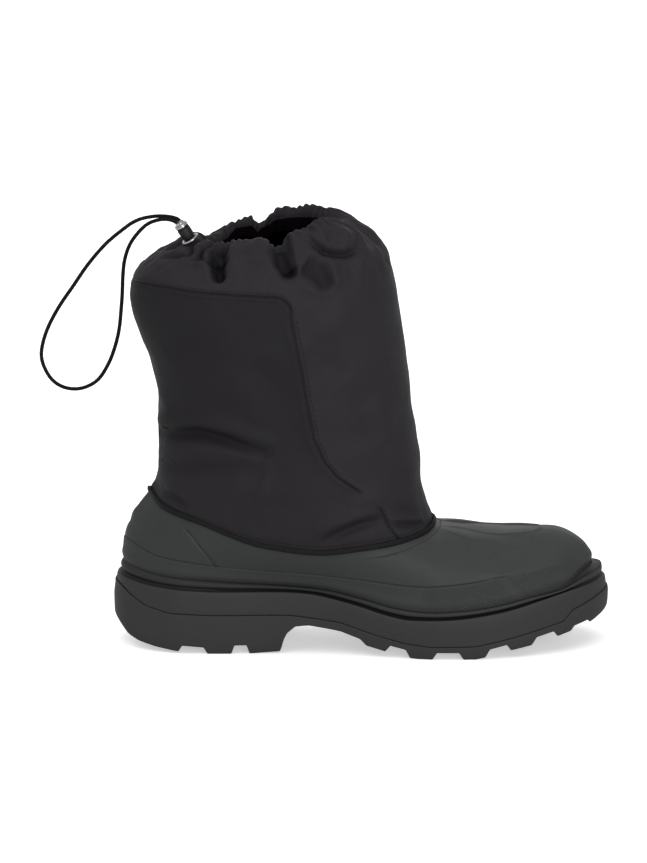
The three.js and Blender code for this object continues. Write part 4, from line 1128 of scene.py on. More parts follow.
def makeShell():
    count = mould["columns"]
    weight = np.linspace(0, 1, 2001)
    along, _ = alongOf(weight)
    dense = 1 + 1.1 * bump(along - 0.16, 0.09) + 0.7 * bump(along - 0.8, 0.14)
    spread = np.concatenate([[0], np.cumsum((dense[1:] + dense[:-1]) / 2)])
    turn = np.interp(np.arange(count + 1) / count, spread / spread[-1], weight)
    t, run, aboveRand, belowTop = shellRowPlaces(turn)
    base = shellPoint(np.broadcast_to(turn, t.shape), t)
    base[:, -1] = base[:, 0]
    normal = gridNormals(base)
    x, y, z = base[..., 0], base[..., 1], base[..., 2]
    faint = 1 - 0.92 * smoothStep(225, 264, x)
    push = faint * (mould["randStep"] * (1 - smoothStep(-0.4, 0.3, aboveRand)) - 0.6 * bump(aboveRand - 0.25, 0.36))
    push += 0.9 * bump(run - 6.5, 3.2) + 2.4 * bump(z - 72, 18) * (1 - smoothStep(4, 36, x))
    push += (2.0 * bump(x - 287, 12) * smoothStep(50, 58, z) - 2.7 * bump(x - 241, 24) * smoothStep(54, 68, z))
    # collar band below the topline
    wide, start, end = mould["topBand"]
    fadeIn = smoothStep(start, end, x)
    push += fadeIn * (0.42 * smoothStep(-0.3, 0.3, wide - belowTop) - 0.3 * bump(belowTop - wide - 0.35, 0.4))
    push += 0.35 * bump(belowTop, 2.2) * (1 - fadeIn)
    # heel ledge and the counter's seam on both sides
    push += (0.9 * bump(z - 86, 3) - 0.6 * bump(z - 79.5, 2.4)) * (1 - smoothStep(8, 22, x))
    mask = np.zeros_like(x)
    for side in (-1, 1):
        line = sideLine(mould["counterSeam"], side, base)
        gap, place, toward, _ = nearLine(base, line)
        fade = smoothStep(0, 0.12, place) * (aboveRand > -0.1)
        ahead = (toward[..., 0] > 0) * smoothStep(0, 0.6, gap)
        push += fade * (-0.95 * bump(gap, 0.8) + 0.42 * ahead * np.exp(-gap / 14) * (gap < 60))
        gap, place, _, _ = nearLine(base, sideLine(mould["toeRidge"], side, base))
        push += 0.7 * np.clip(1 - gap / 9, 0, 1) * (aboveRand > -0.2) * smoothStep(0, 0.2, place)
        pip = sideLine([mould["pip"], (mould["pip"][0] + 0.5, mould["pip"][1])], side, base)
        push += 0.45 * bump(nearLine(base, pip)[0], 1.3)
        strip = nearLine(base, sideLine(mould["strip"], side, base))[0]
        onStrip = 1 - smoothStep(2.4, 3.1, strip)
        push += (0.15 * onStrip - 0.2 * bump(strip - 2.9, 0.5)) * (aboveRand < 3)
        mask = np.maximum(mask, onStrip * (y * side > 0))
    # arrow-shaped plateau down the middle of the toe, its flanks and blunt front
    half = np.interp(x, *np.array(mould["spear"], float).T)
    onTop = (x > 200) & (z > 60)
    flat = smoothStep(0, 0.34, 1 - np.abs(y) / np.maximum(half, 0.5)) * onTop * smoothStep(206, 222, x) * (half > 0.6)
    push -= 1.3 * flat * np.minimum(half / 10, 1)
    push += 0.45 * np.clip(1 - np.abs(np.abs(y) - half) / 3.5, 0, 1) * onTop * smoothStep(208, 222, x) * (half > 0.6)
    reach = np.interp(x, *np.array(mould["flank"], float).T)
    front = 277.5 - 0.42 * np.abs(y)
    inShield = smoothStep(-1.4, 0.2, reach - np.abs(y)) * smoothStep(-0.6, 0.6, front - x)
    inShield = inShield * onTop * smoothStep(208, 228, x)
    push += 0.75 * inShield * (1 - 0.5 * smoothStep(12, 0, front - x))
    push += 0.06 * noiseField(base, 9, 1) + 0.12 * noiseField(base, 38, 2)
    outer = base + normal * push[..., None]
    heelBack = (1 - smoothStep(9, 12, x)) * smoothStep(51, 53, z) * (1 - smoothStep(-3, -1.5, aboveRand))
    onRand = smoothStep(0.6, 1.6, -aboveRand) * smoothStep(193, 204, x) * (1 - smoothStep(284, 294, x))
    onRand = onRand * smoothStep(1.0, 2.2, run)
    knurl = np.maximum(onRand * (1 - 0.35 * mask), heelBack)
    # over the top edge, down the inside and under the foot
    wall = shell["wall"]
    rows = [outer]
    for depth, up in ((0.25, 0.3), (0.8, 0.5), (1.5, 0.45), (2.0, 0.2)):
        rows.append((outer[-1] - normal[-1] * depth + [0, 0, up])[None])
    inside = np.linspace(len(outer) - 1, 0, 16).round().astype(int)
    for k in inside[1:]:
        rows.append((base[k] - normal[k] * wall)[None])
    rows[-1][0, :, 2] = base[0, :, 2]
    rows.append(outer[:1])
    grid = np.concatenate(rows)
    extra = len(grid) - len(outer)
    knurls = np.concatenate([knurl, np.zeros((extra, count + 1))])
    v = np.concatenate([run, np.repeat(run[-1:], extra, 0)]) / 1000
    length = np.cumsum(np.concatenate([[0], np.linalg.norm(np.diff(base[8], axis=0), axis=1)])) / 1000
    uv = np.stack([np.broadcast_to(length, v.shape), v], -1)
    piece = gridPiece("shell_moulded", grid, [shellRubber], uv=uv, masks={"knurl": knurls},
                      sharpAngle=50)
    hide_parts("shell")


makeShell()
print("shell ready")

# padded shaft: folds are lines on its surface, as (turn, millimetres up), with width and height beside them

cloth = {
    "columns": 420,
    "seamColumn": 0.3,  # the upright seam keeps this place among the columns, the same on both sides
    "seam": [  # millimetres up, turn; above the corner the columns only follow it
        (0, 0.4075), (7.4, 0.397), (21.2, 0.386), (27, 0.37), (33.7, 0.353), (42.3, 0.321), (52, 0.302),
        (66.9, 0.290), (96, 0.2855), (156, 0.2885), (160.7, 0.287), (190, 0.284), (228.2, 0.28),
    ],
    "seamGap": (23.5, 32.5),  # the seam sinks out of sight here
    "levelSeam": [
        (0, 163.4), (0.069, 167.2), (0.107, 167.3), (0.156, 165.9), (0.215, 164.7), (0.281, 163.2), (0.5, 162.5),
    ],
    "corner": 0.2875,
    "cornerRound": 8.0,
    "levelSeamUp": 164,  # the row of the grid that follows the level seam
    "foldShade": 0.85,  # how dark the painted shade in the deepest folds is
    "gathers": 52,  # fine gathers once round the casing
    "aroundLength": 400,  # millimetres once round the shaft, near enough for distances from the seam
    "panelShade": 0.36,  # how much darker the heel panel inside the seam is painted: partly its own tone, partly painted shade
    "crest": 205.6,
    "rimRise": [  # turn, millimetres the gathered rim stands above or below an even collar
        (0, 0), (0.14, -0.5), (0.165, 0.4), (0.2, 0.2), (0.225, -1), (0.243, -4.2), (0.256, -7.5), (0.272, -9.5),
        (0.286, -8.5), (0.297, -5), (0.312, -3.2), (0.33, -1.5), (0.35, 0), (0.375, 1.5), (0.4, 2.6), (0.42, 2.4),
        (0.46, 0.8), (0.52, 0.7), (0.6, 0.5), (0.7, 0), (0.735, 0.8), (0.746, -1), (0.768, -1.5), (0.78, -3.8),
        (0.79, 0), (0.8, 2), (0.84, 2.4), (0.86, -0.8), (0.88, -4), (0.92, -5.4), (0.94, -4), (0.96, 0), (1, 0),
    ],
}
# kind, points (turn, up), widths (start, end), height; ridges are positive
collarFolds = [
    ("hollow", [(0.175, 178), (0.168, 181.5), (0.158, 187), (0.146, 195), (0.137, 204), (0.131, 214)],
     (3.8, 7.0), -9.5),
    ("valley", [(0.100, 214), (0.103, 205), (0.110, 196), (0.124, 187.5)], (2.5, 2.2), -7),
    ("ridge", [(0.114, 213), (0.118, 203), (0.128, 191), (0.142, 180)], (3.2, 3.6), 2.8),
    ("ridge", [(0.086, 213), (0.088, 205), (0.092, 196), (0.104, 186)], (3.6, 4.5), 2.2),
    ("valley", [(0.060, 211), (0.072, 203), (0.085, 197), (0.099, 189)], (2.0, 1.7), -5.5),
    ("crease", [(0.110, 190), (0.124, 191), (0.138, 191), (0.150, 188)], (2.0, 2.2), -4.5),
    ("crease", [(0.108, 186.5), (0.122, 186), (0.138, 186.4), (0.154, 182.5), (0.164, 178)],
     (1.4, 1.4), 2.2),
    ("ridge", [(0.162, 212), (0.170, 203), (0.178, 193), (0.188, 180)], (5, 6), 2.6),
    ("ridge", [(0.205, 205), (0.208, 196), (0.212, 186)], (12, 11), 1.6),
    ("ridge", [(0.234, 208), (0.238, 200), (0.243, 190), (0.252, 178)], (5, 6), 2.6),
    ("crease", [(0.170, 198.5), (0.190, 196), (0.212, 195), (0.234, 196)], (1.6, 1.6), -0.8),
    ("hollow", [(0.281, 181), (0.277, 184), (0.271, 188), (0.267, 195), (0.265, 205), (0.265, 214)],
     (5.4, 7.0), -8.5),
    ("ridge", [(0.2585, 204), (0.261, 196), (0.266, 187), (0.274, 178)], (1.4, 1.4), 2.6),
    ("ridge", [(0.2705, 204), (0.273, 196), (0.278, 187)], (1.4, 1.4), 2.8),
    ("ridge", [(0.131, 206), (0.138, 200), (0.149, 192), (0.160, 185)], (1.5, 1.3), 2.4),
    ("ridge", [(0.140, 208), (0.149, 200), (0.158, 193)], (1.4, 1.2), 2.2),
    ("ridge", [(0.298, 212), (0.293, 204), (0.287, 195), (0.284, 187), (0.286, 180)], (3.6, 3.4), 4.4),
    ("ridge", [(0.294, 204), (0.306, 205), (0.320, 203.5), (0.333, 199), (0.344, 194)], (2.8, 2.6), 3.0),
    ("hollow", [(0.340, 173), (0.330, 178.5), (0.317, 182.5), (0.304, 186)], (6.2, 8.6), -3.6),
    ("crease", [(0.300, 172.5), (0.318, 167.5), (0.338, 165), (0.350, 169)], (2.6, 2.6), 1.2),
    ("ridge", [(0.350, 184), (0.356, 175), (0.353, 166)], (4, 4), 1.8),
    ("ridge", [(0.362, 208), (0.375, 204), (0.392, 201), (0.407, 199), (0.420, 201)], (10, 9), 3.6),
    ("crease", [(0.318, 205), (0.330, 197.5), (0.350, 191.5), (0.376, 189.5), (0.402, 192), (0.410, 199)],
     (2.4, 2.6), -5.6),
    ("valley", [(0.345, 215), (0.340, 207), (0.336, 202)], (3.0, 2.4), -3.2),
    ("valley", [(0.368, 206), (0.362, 201), (0.352, 197)], (2.0, 1.6), -1.6),
    ("ridge", [(0.440, 208), (0.425, 196), (0.405, 183), (0.392, 168)], (4.5, 6), 1.6),
    ("valley", [(0.432, 209), (0.428, 202), (0.418, 194), (0.405, 188)], (2.4, 2.8), -2.2),
    ("valley", [(0.470, 209), (0.468, 199), (0.462, 187)], (3.0, 3.0), -1.6),
    ("ridge", [(0.495, 210), (0.497, 200), (0.495, 188), (0.490, 172)], (6, 6), 1.4),
    ("valley", [(0.028, 211), (0.026, 201), (0.020, 188)], (3.4, 3.2), -3.0),
    ("ridge", [(0.010, 210), (0.006, 200), (0.002, 186)], (6, 6), 0.6),
    ("crease", [(0.044, 187), (0.058, 190), (0.074, 192), (0.088, 195), (0.099, 199)], (2.4, 2.0), -3.2),
    ("valley", [(0.965, 212), (0.968, 201), (0.972, 186), (0.975, 176)], (4.0, 4.0), -3.5),
    ("ridge", [(0.940, 212), (0.938, 200), (0.936, 184)], (6, 6), 1.8),
    ("valley", [(0.905, 213), (0.902, 202), (0.895, 190), (0.885, 178)], (4.5, 3.6), -4.5),
    ("ridge", [(0.872, 212), (0.868, 200), (0.860, 184)], (7, 6), 0.8),
    ("valley", [(0.838, 213), (0.832, 201), (0.824, 188), (0.82, 178)], (4.0, 3.6), -4.0),
    ("ridge", [(0.800, 212), (0.795, 200), (0.79, 184)], (8, 7), 2.0),
    ("valley", [(0.770, 213), (0.766, 201), (0.760, 187), (0.752, 175)], (4.6, 3.8), -5.0),
    ("ridge", [(0.724, 212), (0.720, 200), (0.716, 184)], (7, 7), 2.0),
    ("valley", [(0.690, 213), (0.686, 202), (0.682, 188), (0.68, 180)], (4.0, 3.4), -3.6),
    ("ridge", [(0.655, 212), (0.652, 200), (0.648, 182)], (8, 7), 2.0),
    ("valley", [(0.612, 213), (0.609, 201), (0.605, 188), (0.60, 176)], (4.4, 3.8), -3.6),
    ("ridge", [(0.580, 212), (0.577, 200), (0.572, 184)], (6, 6), 1.6),
    ("valley", [(0.545, 212), (0.542, 201), (0.538, 188)], (3.6, 3.4), -2.0),
]
# the same kinds of fold lower down, as (x, z) on one side: -1 lateral, 1 medial
legFolds = [
    (-1, "overhang", [(29, 144), (42, 149.5), (56, 151.5), (72, 148.5), (88, 143), (105, 138)], (10, 9), 4.6),
    (-1, "overhang", [(29, 123), (45, 126), (62, 127.5), (84, 127)], (9, 8), 1.7),
    (-1, "ridge", [(32, 135), (50, 138), (70, 137.5), (88, 134.5), (102, 130)], (5.5, 5), 2.7),
    (-1, "overhang", [(33, 106), (42, 103), (50, 97.5)], (6, 5), 2.0),
    (-1, "ridge", [(28, 171), (33, 166), (39, 160)], (8, 7), 1.6),
    (-1, "ridge", [(94, 118), (99, 117), (104, 116)], (16, 16), 1.3),
    (-1, "overhang", [(131, 79), (145, 85), (158, 90), (175, 93)], (8, 6), 3.4),
    (-1, "ridge", [(150, 101), (164, 104), (178, 104)], (5, 5), 1.4),
    (-1, "ridge", [(168, 171), (176, 155), (180, 141)], (9, 8), 1.8),
    (-1, "valley", [(150, 182), (160, 160), (166, 138)], (10, 9), -1.2),
    (-1, "valley", [(82, 110), (102, 100), (122, 100)], (12, 11), -1.4),
    (-1, "valley", [(88, 196), (104, 180), (112, 160)], (12, 12), -1.3),
    (-1, "ridge", [(60, 196), (84, 178), (98, 158)], (12, 11), 1.0),
    (-1, "valley", [(125, 205), (140, 196), (156, 190)], (9, 8), -1.2),
    (-1, "ridge", [(116, 204), (134, 217), (154, 232)], (9, 8), 1.5),
    (-1, "ridge", [(72, 120), (90, 112), (104, 112)], (8, 8), 0.9),
    (-1, "overhang", [(178, 88.5), (186, 86.5), (194, 85), (200, 83)], (5, 4), 2.6),
    (-1, "valley", [(180, 97), (189, 93), (197, 89)], (4, 4), -1.6),
    (-1, "ridge", [(180, 82), (188, 79.5), (196, 79)], (3, 3), 1.0),
    (-1, "valley", [(36, 196), (50, 206), (70, 210)], (11, 10), -1.1),
    (1, "overhang", [(30, 138), (52, 146), (76, 145), (98, 136)], (9, 8), 3.0),
    (1, "overhang", [(34, 118), (56, 123), (80, 121)], (8, 7), 1.6),
    (1, "overhang", [(132, 88), (146, 95), (160, 98), (172, 97)], (8, 6), 2.2),
    (1, "ridge", [(166, 168), (173, 152), (177, 138)], (9, 8), 1.6),
    (1, "valley", [(60, 196), (84, 186), (104, 168)], (13, 11), -1.5),
    (1, "valley", [(120, 200), (138, 190), (154, 176)], (11, 10), -1.3),
    (1, "ridge", [(88, 168), (104, 150), (112, 132)], (11, 10), 1.2),
    (1, "valley", [(70, 108), (92, 101), (112, 102)], (12, 10), -1.4),
]


def foldField(points, line, kind, widths, height, fadeFrom=None):
    # height of one fold over a grid of points, and the painted shade it lays on the cloth: in its hollow, below an
    # overhang, and negative (a painted highlight) on a ridge
    gap, place, toward, _ = nearLine(points, line)
    width = between(widths[0], widths[1], place)
    if fadeFrom is None:  # fades at both ends
        taper = np.sin(math.pi * np.clip(place, 0.0, 1)) ** 0.55
    else:  # full at its start
        taper = 1 - smoothStep(fadeFrom, 1.0, place)
    if kind == "overhang":  # cloth hangs over on the upper side and is drawn in below
        over = np.where(toward[..., 2] > 0, 1, -1) * gap
        shape = 0.8 * bump(over - 0.45 * width, 0.6 * width) - bump(over + 0.4 * width, 0.5 * width)
        # painted shade on the drawn-in cloth just below the overhang
        dark = (1 - smoothStep(-0.15, 0.12, over / width)) * smoothStep(-1.15, -0.5, over / width)
        return taper * height * shape * (gap < 3 * width), taper * 0.1 * height * dark
    if kind == "hollow":
        # painted shade filling the hollow, darker the deeper it is
        dark = np.exp(-((gap / width / 1.05) ** 5.5)) * min(0.35 - height / 14, 1)
        return taper * height * np.exp(-((gap / width) ** 3)), taper * dark
    shape = np.exp(-((gap / width) ** 1.5)) if kind == "valley" else bump(gap, width)
    # painted shade along valleys and sunk creases; a little negative on ridges and raised creases, a painted
    # highlight
    return taper * height * shape, taper * shape * min(max(-height / 9, -0.3), 1)


def shaftLattice():
    # turn and height of every column and row: fine along the seams, and lined up with them
    count = cloth["columns"]
    c = np.linspace(0, 1, 4001)
    seamColumn = cloth["seamColumn"]
    dense = 1 + 1.6 * bump(np.minimum(abs(c - seamColumn), abs(c - 1 + seamColumn)), 0.012)
    spread = np.concatenate([[0], np.cumsum((dense[1:] + dense[:-1]) / 2)])
    column = np.interp(np.arange(count + 1) / count, spread / spread[-1], c)
    column[np.argmin(abs(column - seamColumn))] = seamColumn
    column[np.argmin(abs(column - 1 + seamColumn))] = 1 - seamColumn
    top = shaftSurface.height
    low = [0, 0.5, 1.1, 1.8, 2.6, 3.4, 4.3, 5.3]
    middle = np.linspace(6.4, 158.5, 92)
    seamRows = [160, 161, 161.8, 162.4, 162.9, 163.3, 163.65, 164, 164.35, 164.7, 165.1, 165.6, 166.2, 167, 168]
    high = np.linspace(169, top, 56)
    rows = np.concatenate([low, middle, seamRows, high])
    halfTurn = np.minimum(column, 1 - column) / seamColumn * cloth["corner"]
    level = np.interp(halfTurn, *np.array(cloth["levelSeam"]).T)
    radius = cloth["cornerRound"]
    behind = (cloth["corner"] - halfTurn) * cloth["aroundLength"]
    arc = radius - np.sqrt(np.clip(radius ** 2 - np.clip(radius - behind, 0, radius) ** 2, 0, None))
    drop = np.where(behind >= 0, arc, radius * bump(behind, 10))
    level = level - 0.96 * drop
    seamUp = cloth["levelSeamUp"]
    up = np.array([np.interp(rows, [0, 30, seamUp, 200, top], [0, 30, k, 200, top]) for k in level]).T
    seamTurn = np.interp(up, *np.array(cloth["seam"]).T)
    half = np.minimum(column, 1 - column)[None]
    turn = np.where(
        half < seamColumn, half / seamColumn * seamTurn, 0.5 - (0.5 - half) / (0.5 - seamColumn) * (0.5 - seamTurn)
    )
    turn = np.where(column[None] <= 0.5, turn, 1 - turn)
    return column, rows, turn, up, level + 0.96 * drop


def makeShaft():
    column, rows, turn, up, straight = shaftLattice()
    crest = cloth["crest"]
    base = shaftSurface(turn, up)
    base[..., 2] += SmoothTable(*np.array(cloth["rimRise"], float).T)(turn) * smoothStep(crest - 24, crest - 5, up)
    base[:, -1] = base[:, 0]
    normal = gridNormals(base)
    half = np.minimum(column, 1 - column)[None]
    levelUp = up[np.argmin(abs(rows - cloth["levelSeamUp"]))][None]
    # padding: slow lumps, less where a seam holds it down
    ring = smoothStep(levelUp, levelUp + 14, up)
    seamLine = cloth["seamColumn"]
    along = np.interp(up, *np.array(cloth["seam"]).T)
    around = np.abs(np.minimum(turn, 1 - turn) - along) * cloth["aroundLength"]
    behind = half < seamLine + 1e-6
    lump = 1.5 * noiseField(base, 62, 3) + 0.7 * noiseField(base * [1, 1, 1.5], 26, 4)
    lump = lump + 0.28 * noiseField(base, 11, 5)
    calm = 1 - 0.7 * bump(around, 7) - 0.5 * bump(up, 8)
    push = lump * np.clip(calm, 0.15, 1)
    # upright seam with the cloth swelling beside it, sunk out of sight for a short way
    start, end = cloth["seamGap"]
    shown = 1 - smoothStep(start - 2, start + 1, up) * (1 - smoothStep(end - 1, end + 2, up))
    # the level seam behind it, the two joined by a rounded corner; ahead and above are positive
    ahead = np.where(behind, -around, around)
    gap = up - straight[None]
    radius = cloth["cornerRound"]
    corner = np.hypot(np.maximum(ahead + radius, 0), np.maximum(gap + radius, 0))
    seamGap = corner + np.minimum(np.maximum(ahead + radius, gap + radius), 0) - radius
    push += shown * (-1.2 * bump(seamGap, 0.6) + 0.4 * bump(seamGap - 3.0, 2.2) + 0.35 * bump(seamGap + 3.2, 2.4))
    # bottom edge drawn in to the binding
    push += -0.9 * bump(up, 2.2) + 0.5 * bump(up - 7, 4)
    # folds, calmer over the rim, with the painted shade each one lays on the cloth
    folds, paintedShade = np.zeros_like(push), np.zeros_like(push)
    for kind, points, widths, height in collarFolds:
        line, _ = smoothPath(points, 0.01)
        line = shaftSurface(line[:, 0], line[:, 1])
        fadeFrom = None if kind == "crease" else 0.6 if points[0][1] > points[-1][1] + 8 else 0.8
        rise, dark = foldField(base, line[::max(len(line) // 24, 1)], kind, widths, height, fadeFrom)
        folds += rise
        paintedShade += dark
    push += folds * (1 - 0.5 * smoothStep(crest - 6, crest + 2, up))
    for side, kind, points, widths, height in legFolds:
        line = sideLine(points, side, base[:150])
        rise, dark = foldField(base, line[::3], kind, widths, height)
        push += rise
        paintedShade += dark * 0.8
    # fine gathers at the casing, strongest over the crest and inside it
    fine = smoothStep(crest - 22, crest - 6, up)
    wave = np.sin(turn * 2 * math.pi * cloth["gathers"] + 6 * noiseField(base, 16, 6))
    wave = wave * (0.6 + 0.6 * noiseField(base, 20, 7))
    inner = smoothStep(crest - 1, crest + 5, up)
    push += fine * wave * (0.5 + 0.9 * inner) * (1 - 0.75 * bump(turn - 0.213, 0.026))
    push -= 1.5 * bump(up - 186, 13) * (1 - smoothStep(0, 0.06, np.minimum(turn, 1 - turn)))
    push += 0.5 * bump(up - 200, 12) * smoothStep(0.42, 0.47, turn) * (1 - smoothStep(0.55, 0.61, turn))
    ripple = noiseField(base * [1, 1, 0.45], 7, 8) * 1.1 + noiseField(base * [1, 1, 0.6], 3.6, 9) * 0.4
    push += ripple * ring * 0.75  # small dents above the level seam
    limit = np.where(up > crest, 4.5, 12.0)
    push = np.clip(push, -limit * 0.95, limit)
    outer = base + normal * push[..., None]
    outer[:, -1] = outer[:, 0]
    # inner face, from the turned-in end of the casing back over its inside and down to the ankle
    grid, slots = [outer], [0] * len(outer)
    top = shaftSurface.height
    wall = shaft["wall"]
    casing = [(top, 1.0), (top - 0.5, 2.0), (top - 4, 2.6), (top - 10, wall), (crest + 6, 3.4), (crest, 3.6),
              (crest - 5, 3.6), (crest - 10, 3.6), (crest - 15, 3.5), (crest - 20, 3.4), (crest - 26, 3.2),
              (crest - 34, 3.2)]
    leg = (164, 156, 148, 140, 130, 110, 100, 90, 79.6, 70, 60, 47.5, 38, 29.6, 22, 15.4, 6.8, 2.4, 0)
    for level, depth in casing + [(place, wall) for place in leg]:
        k = int(np.argmin(np.abs(rows - level)))
        near = np.abs(rows - level) < 6  # stays behind the deepest fold around this height
        soft = np.minimum(push[k] * (0.75 if level > crest - 10 else 0.3) - depth, push[near].min(0) - 1.6)
        row = base[k] + normal[k] * soft[:, None]
        if level == 0:
            row[:, 2] = outer[0, :, 2]
        grid.append(row[None])
        slots.append(1)
    grid.append(outer[:1])
    slots.append(1)
    turnedIn = int(np.argmax(rows > crest + 15))
    slots[turnedIn:len(outer)] = [1] * (len(outer) - turnedIn)
    whole = np.concatenate(grid)
    v = np.concatenate([up, np.repeat(up[-1:], len(whole) - len(up), 0)]) / 1000
    metresAround = cloth["aroundLength"] / 1000
    uv = np.stack([turn[:1] * metresAround + 0 * v, v], -1)
    uv[:len(turn), :, 0] = turn * metresAround
    # heel panel inside the seams darker, partly its own tone and partly painted shade, less so towards the bottom;
    # the folds' painted shade goes on top, and ridges take some of it away as a painted highlight
    panel = cloth["panelShade"] * (1 - smoothStep(-1.2, 0.6, seamGap)) * between(0.4, 1, smoothStep(22, 72, up))
    darkest = cloth["foldShade"]
    paintedShade = np.clip(darkest * paintedShade * (1 - panel) + panel, 0, darkest)
    paintedShade = np.concatenate([paintedShade, np.zeros((len(whole) - len(paintedShade), paintedShade.shape[1]))])
    piece = gridPiece("shaft_padded", whole, [shaftNylon, collarLining], uv=uv, masks={"paintedShade": paintedShade},
                      rowMaterial=slots)
    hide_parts("shaft")
    return outer, normal, column, rows


shaftOuter, shaftNormal, shaftColumns, shaftRows = makeShaft()
print("shaft ready")

# binding round the shaft's foot, and the stitches

sewing = {
    "binding": [
        (-0.2, -0.9), (0.5, -1.2), (1.0, -0.7), (1.15, 0.2), (1.15, 1.6), (0.95, 2.3), (0.4, 2.7), (-0.5, 2.5),
    ],
    "stitchLength": 2.3,
    "stitchPitch": 3.3,
    "threadRadius": 0.32,
    "rounds": (4.3, 166.6, 161.4),  # millimetres up: above the binding, and above and below the level seam
    "aheadOfSeam": 0.0062,  # share of the way round by which the upright row stands in front of its seam
    "runs": [(5, 24), (33, 158)],  # from, to up the upright seam
}


def makeBinding():
    turn = ringColumns(360)
    foot = lipPoint(turn)
    side = outward(lipPoint, turn, 0.01)
    rows, uv = [], []
    length = np.concatenate([[0], np.cumsum(np.linalg.norm(np.diff(foot, axis=0), axis=1))])
    wobble = 0.12 * np.sin(turn * 2 * math.pi * 57) + 0.15 * np.sin(turn * 2 * math.pi * 23)
    profile = sewing["binding"] + sewing["binding"][:1]
    for k, (out, up) in enumerate(profile):
        shift = [side * (out + 0.15 * wobble[:, None]), (up + wobble * (up > 1))[:, None]]
        rows.append(foot + np.concatenate(shift, -1))
        uv.append(np.stack([length, np.full_like(length, k * 1.1)], -1) / 1000)
    gridPiece("shaft_binding", np.array(rows)[::-1], [bindingTape], uv=np.array(uv)[::-1])


def stitchesAlong(points, normals, spacing):
    # places and directions of stitches along a line of points
    run = np.concatenate([[0], np.cumsum(np.linalg.norm(np.diff(points, axis=0), axis=1))])
    found = []
    for s in np.arange(spacing / 2, run[-1], spacing):
        spot = np.array([np.interp(s, run, points[:, k]) for k in range(3)])
        ahead = np.array([np.interp(s + 0.5, run, points[:, k]) for k in range(3)])
        out = np.array([np.interp(s, run, normals[:, k]) for k in range(3)])
        found.append((spot, ahead - spot, out))
    return found


def makeStitches():
    found = []
    rowAt = lambda level: int(np.argmin(np.abs(shaftRows - level)))
    for level in sewing["rounds"]:
        k = rowAt(level)
        if level > 100:  # the level seam stops at the upright one
            keep = np.minimum(shaftColumns, 1 - shaftColumns) < cloth["seamColumn"] - 0.004
            for part in (keep & (shaftColumns < 0.5), keep & (shaftColumns > 0.5)):
                found += stitchesAlong(shaftOuter[k][part], shaftNormal[k][part], sewing["stitchPitch"])
        else:
            found += stitchesAlong(shaftOuter[k], shaftNormal[k], sewing["stitchPitch"])
    for seam in (cloth["seamColumn"], 1 - cloth["seamColumn"]):
        forward = sewing["aheadOfSeam"] if seam < 0.5 else -sewing["aheadOfSeam"]
        j = int(np.argmin(np.abs(shaftColumns - seam - forward)))
        for low, high in sewing["runs"]:
            part = slice(rowAt(low), rowAt(high))
            found += stitchesAlong(shaftOuter[part, j], shaftNormal[part, j], sewing["stitchPitch"])
    bm = bmesh.new()
    radius, length = sewing["threadRadius"] / 1000, sewing["stitchLength"] / 2000
    for spot, ahead, out in found:
        ahead = Vector(ahead).normalized()
        out = Vector(out)
        out = (out - ahead * out.dot(ahead)).normalized()
        turned = Matrix((ahead, out.cross(ahead), out)).transposed().to_4x4()
        place = Matrix.Translation(Vector(toFrame(spot)) + out * radius * 0.35)
        size = Matrix.Diagonal((length, radius, radius, 1))
        bmesh.ops.create_uvsphere(bm, u_segments=8, v_segments=5, radius=1, matrix=place @ turned @ size)
    mesh = bpy.data.meshes.new("shaft_stitches")
    bm.to_mesh(mesh)
    bm.free()
    newPiece("shaft_stitches", mesh, [sewingThread])
    print(len(found), "stitches")


makeBinding()
makeStitches()
print("binding and stitches ready")

# floor and light

studio = {
    "floorSize": 30,
    "sunStrength": 1.6,
    "sunSpread": 75,
    "surround": 0.3,
    "floorGlow": 0.5,
    "floorSeen": 0.93,
    "floorInLight": 0.64,
    "sunTurn": (12, -8),
    "softboxes": [  # name, place, aimed at, width, height, power
        ("frontBox", (0.85, -2.35, 0.75), (0, 0, 0.15), 1.6, 1.2, 18.5),
        ("backBox", (0.5, 2.2, 1.0), (0.05, 0, 0.15), 1.8, 0.8, 5),
        ("rearFill", (-1.2, 2.1, 0.8), (0, 0, 0.15), 1.6, 1.2, 13),
    ],
}


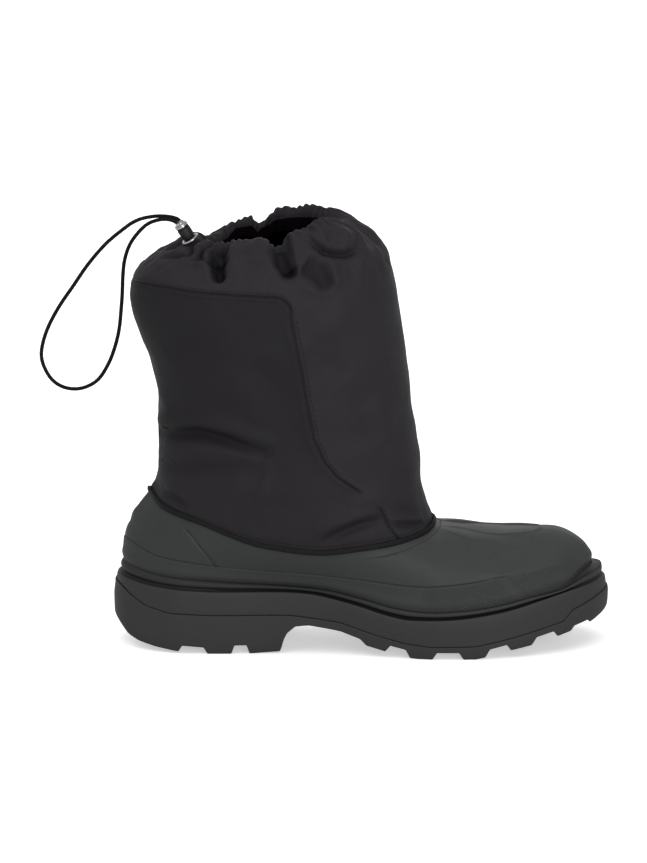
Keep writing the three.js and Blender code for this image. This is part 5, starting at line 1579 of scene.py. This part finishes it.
def makeStudio():
    bm = bmesh.new()
    bmesh.ops.create_grid(bm, x_segments=1, y_segments=1, size=studio["floorSize"] / 2)
    mesh = bpy.data.meshes.new("floor")
    bm.to_mesh(mesh)
    bm.free()
    floor = bpy.data.objects.new("floor", mesh)
    bpy.context.scene.collection.objects.link(floor)
    material, tree, surface = startMaterial("paleFloor", {"Roughness": 0.9, "Specular IOR Level": 0.1})
    path = addNode(tree, "ShaderNodeLightPath")
    dim, pale, glow = ((studio[key],) * 3 for key in ("floorInLight", "floorSeen", "floorGlow"))
    tree.links.new(blendColour(tree, path.outputs["Is Camera Ray"], dim, pale), surface.inputs["Base Color"])
    tree.links.new(blendColour(tree, path.outputs["Is Camera Ray"], (0.0, 0.0, 0.0), glow),
                   surface.inputs["Emission Color"])
    surface.inputs["Emission Strength"].default_value = 1.0
    mesh.materials.append(material)
    sun = bpy.data.lights.new("overhead", "SUN")
    sun.energy, sun.angle = studio["sunStrength"], math.radians(studio["sunSpread"])
    lamp = bpy.data.objects.new("overhead", sun)
    lamp.rotation_euler = (*(math.radians(turn) for turn in studio["sunTurn"]), 0)
    lamp.visible_glossy = False
    bpy.context.scene.collection.objects.link(lamp)
    for name, place, aim, wide, high, power in studio["softboxes"]:
        box = bpy.data.lights.new(name, "AREA")
        box.shape, box.size, box.size_y, box.energy = "RECTANGLE", wide, high, power
        holder = bpy.data.objects.new(name, box)
        holder.location = place
        holder.visible_camera = False
        holder.visible_glossy = name != "rearFill"
        holder.rotation_euler = (Vector(aim) - Vector(place)).to_track_quat("-Z", "Y").to_euler()
        bpy.context.scene.collection.objects.link(holder)
    world = bpy.data.worlds.new("studio")
    bpy.context.scene.world = world
    world.use_nodes = True
    tree = world.node_tree
    ground = tree.nodes["Background"]
    path = addNode(tree, "ShaderNodeLightPath")
    grey = (studio["surround"],) * 3
    tree.links.new(blendColour(tree, path.outputs["Is Camera Ray"], grey, (1.0, 1.0, 1.0)), ground.inputs["Color"])
    bpy.context.scene.view_settings.view_transform = "Standard"
    bpy.context.scene.view_settings.look = "None"


makeStudio()
print("studio ready")
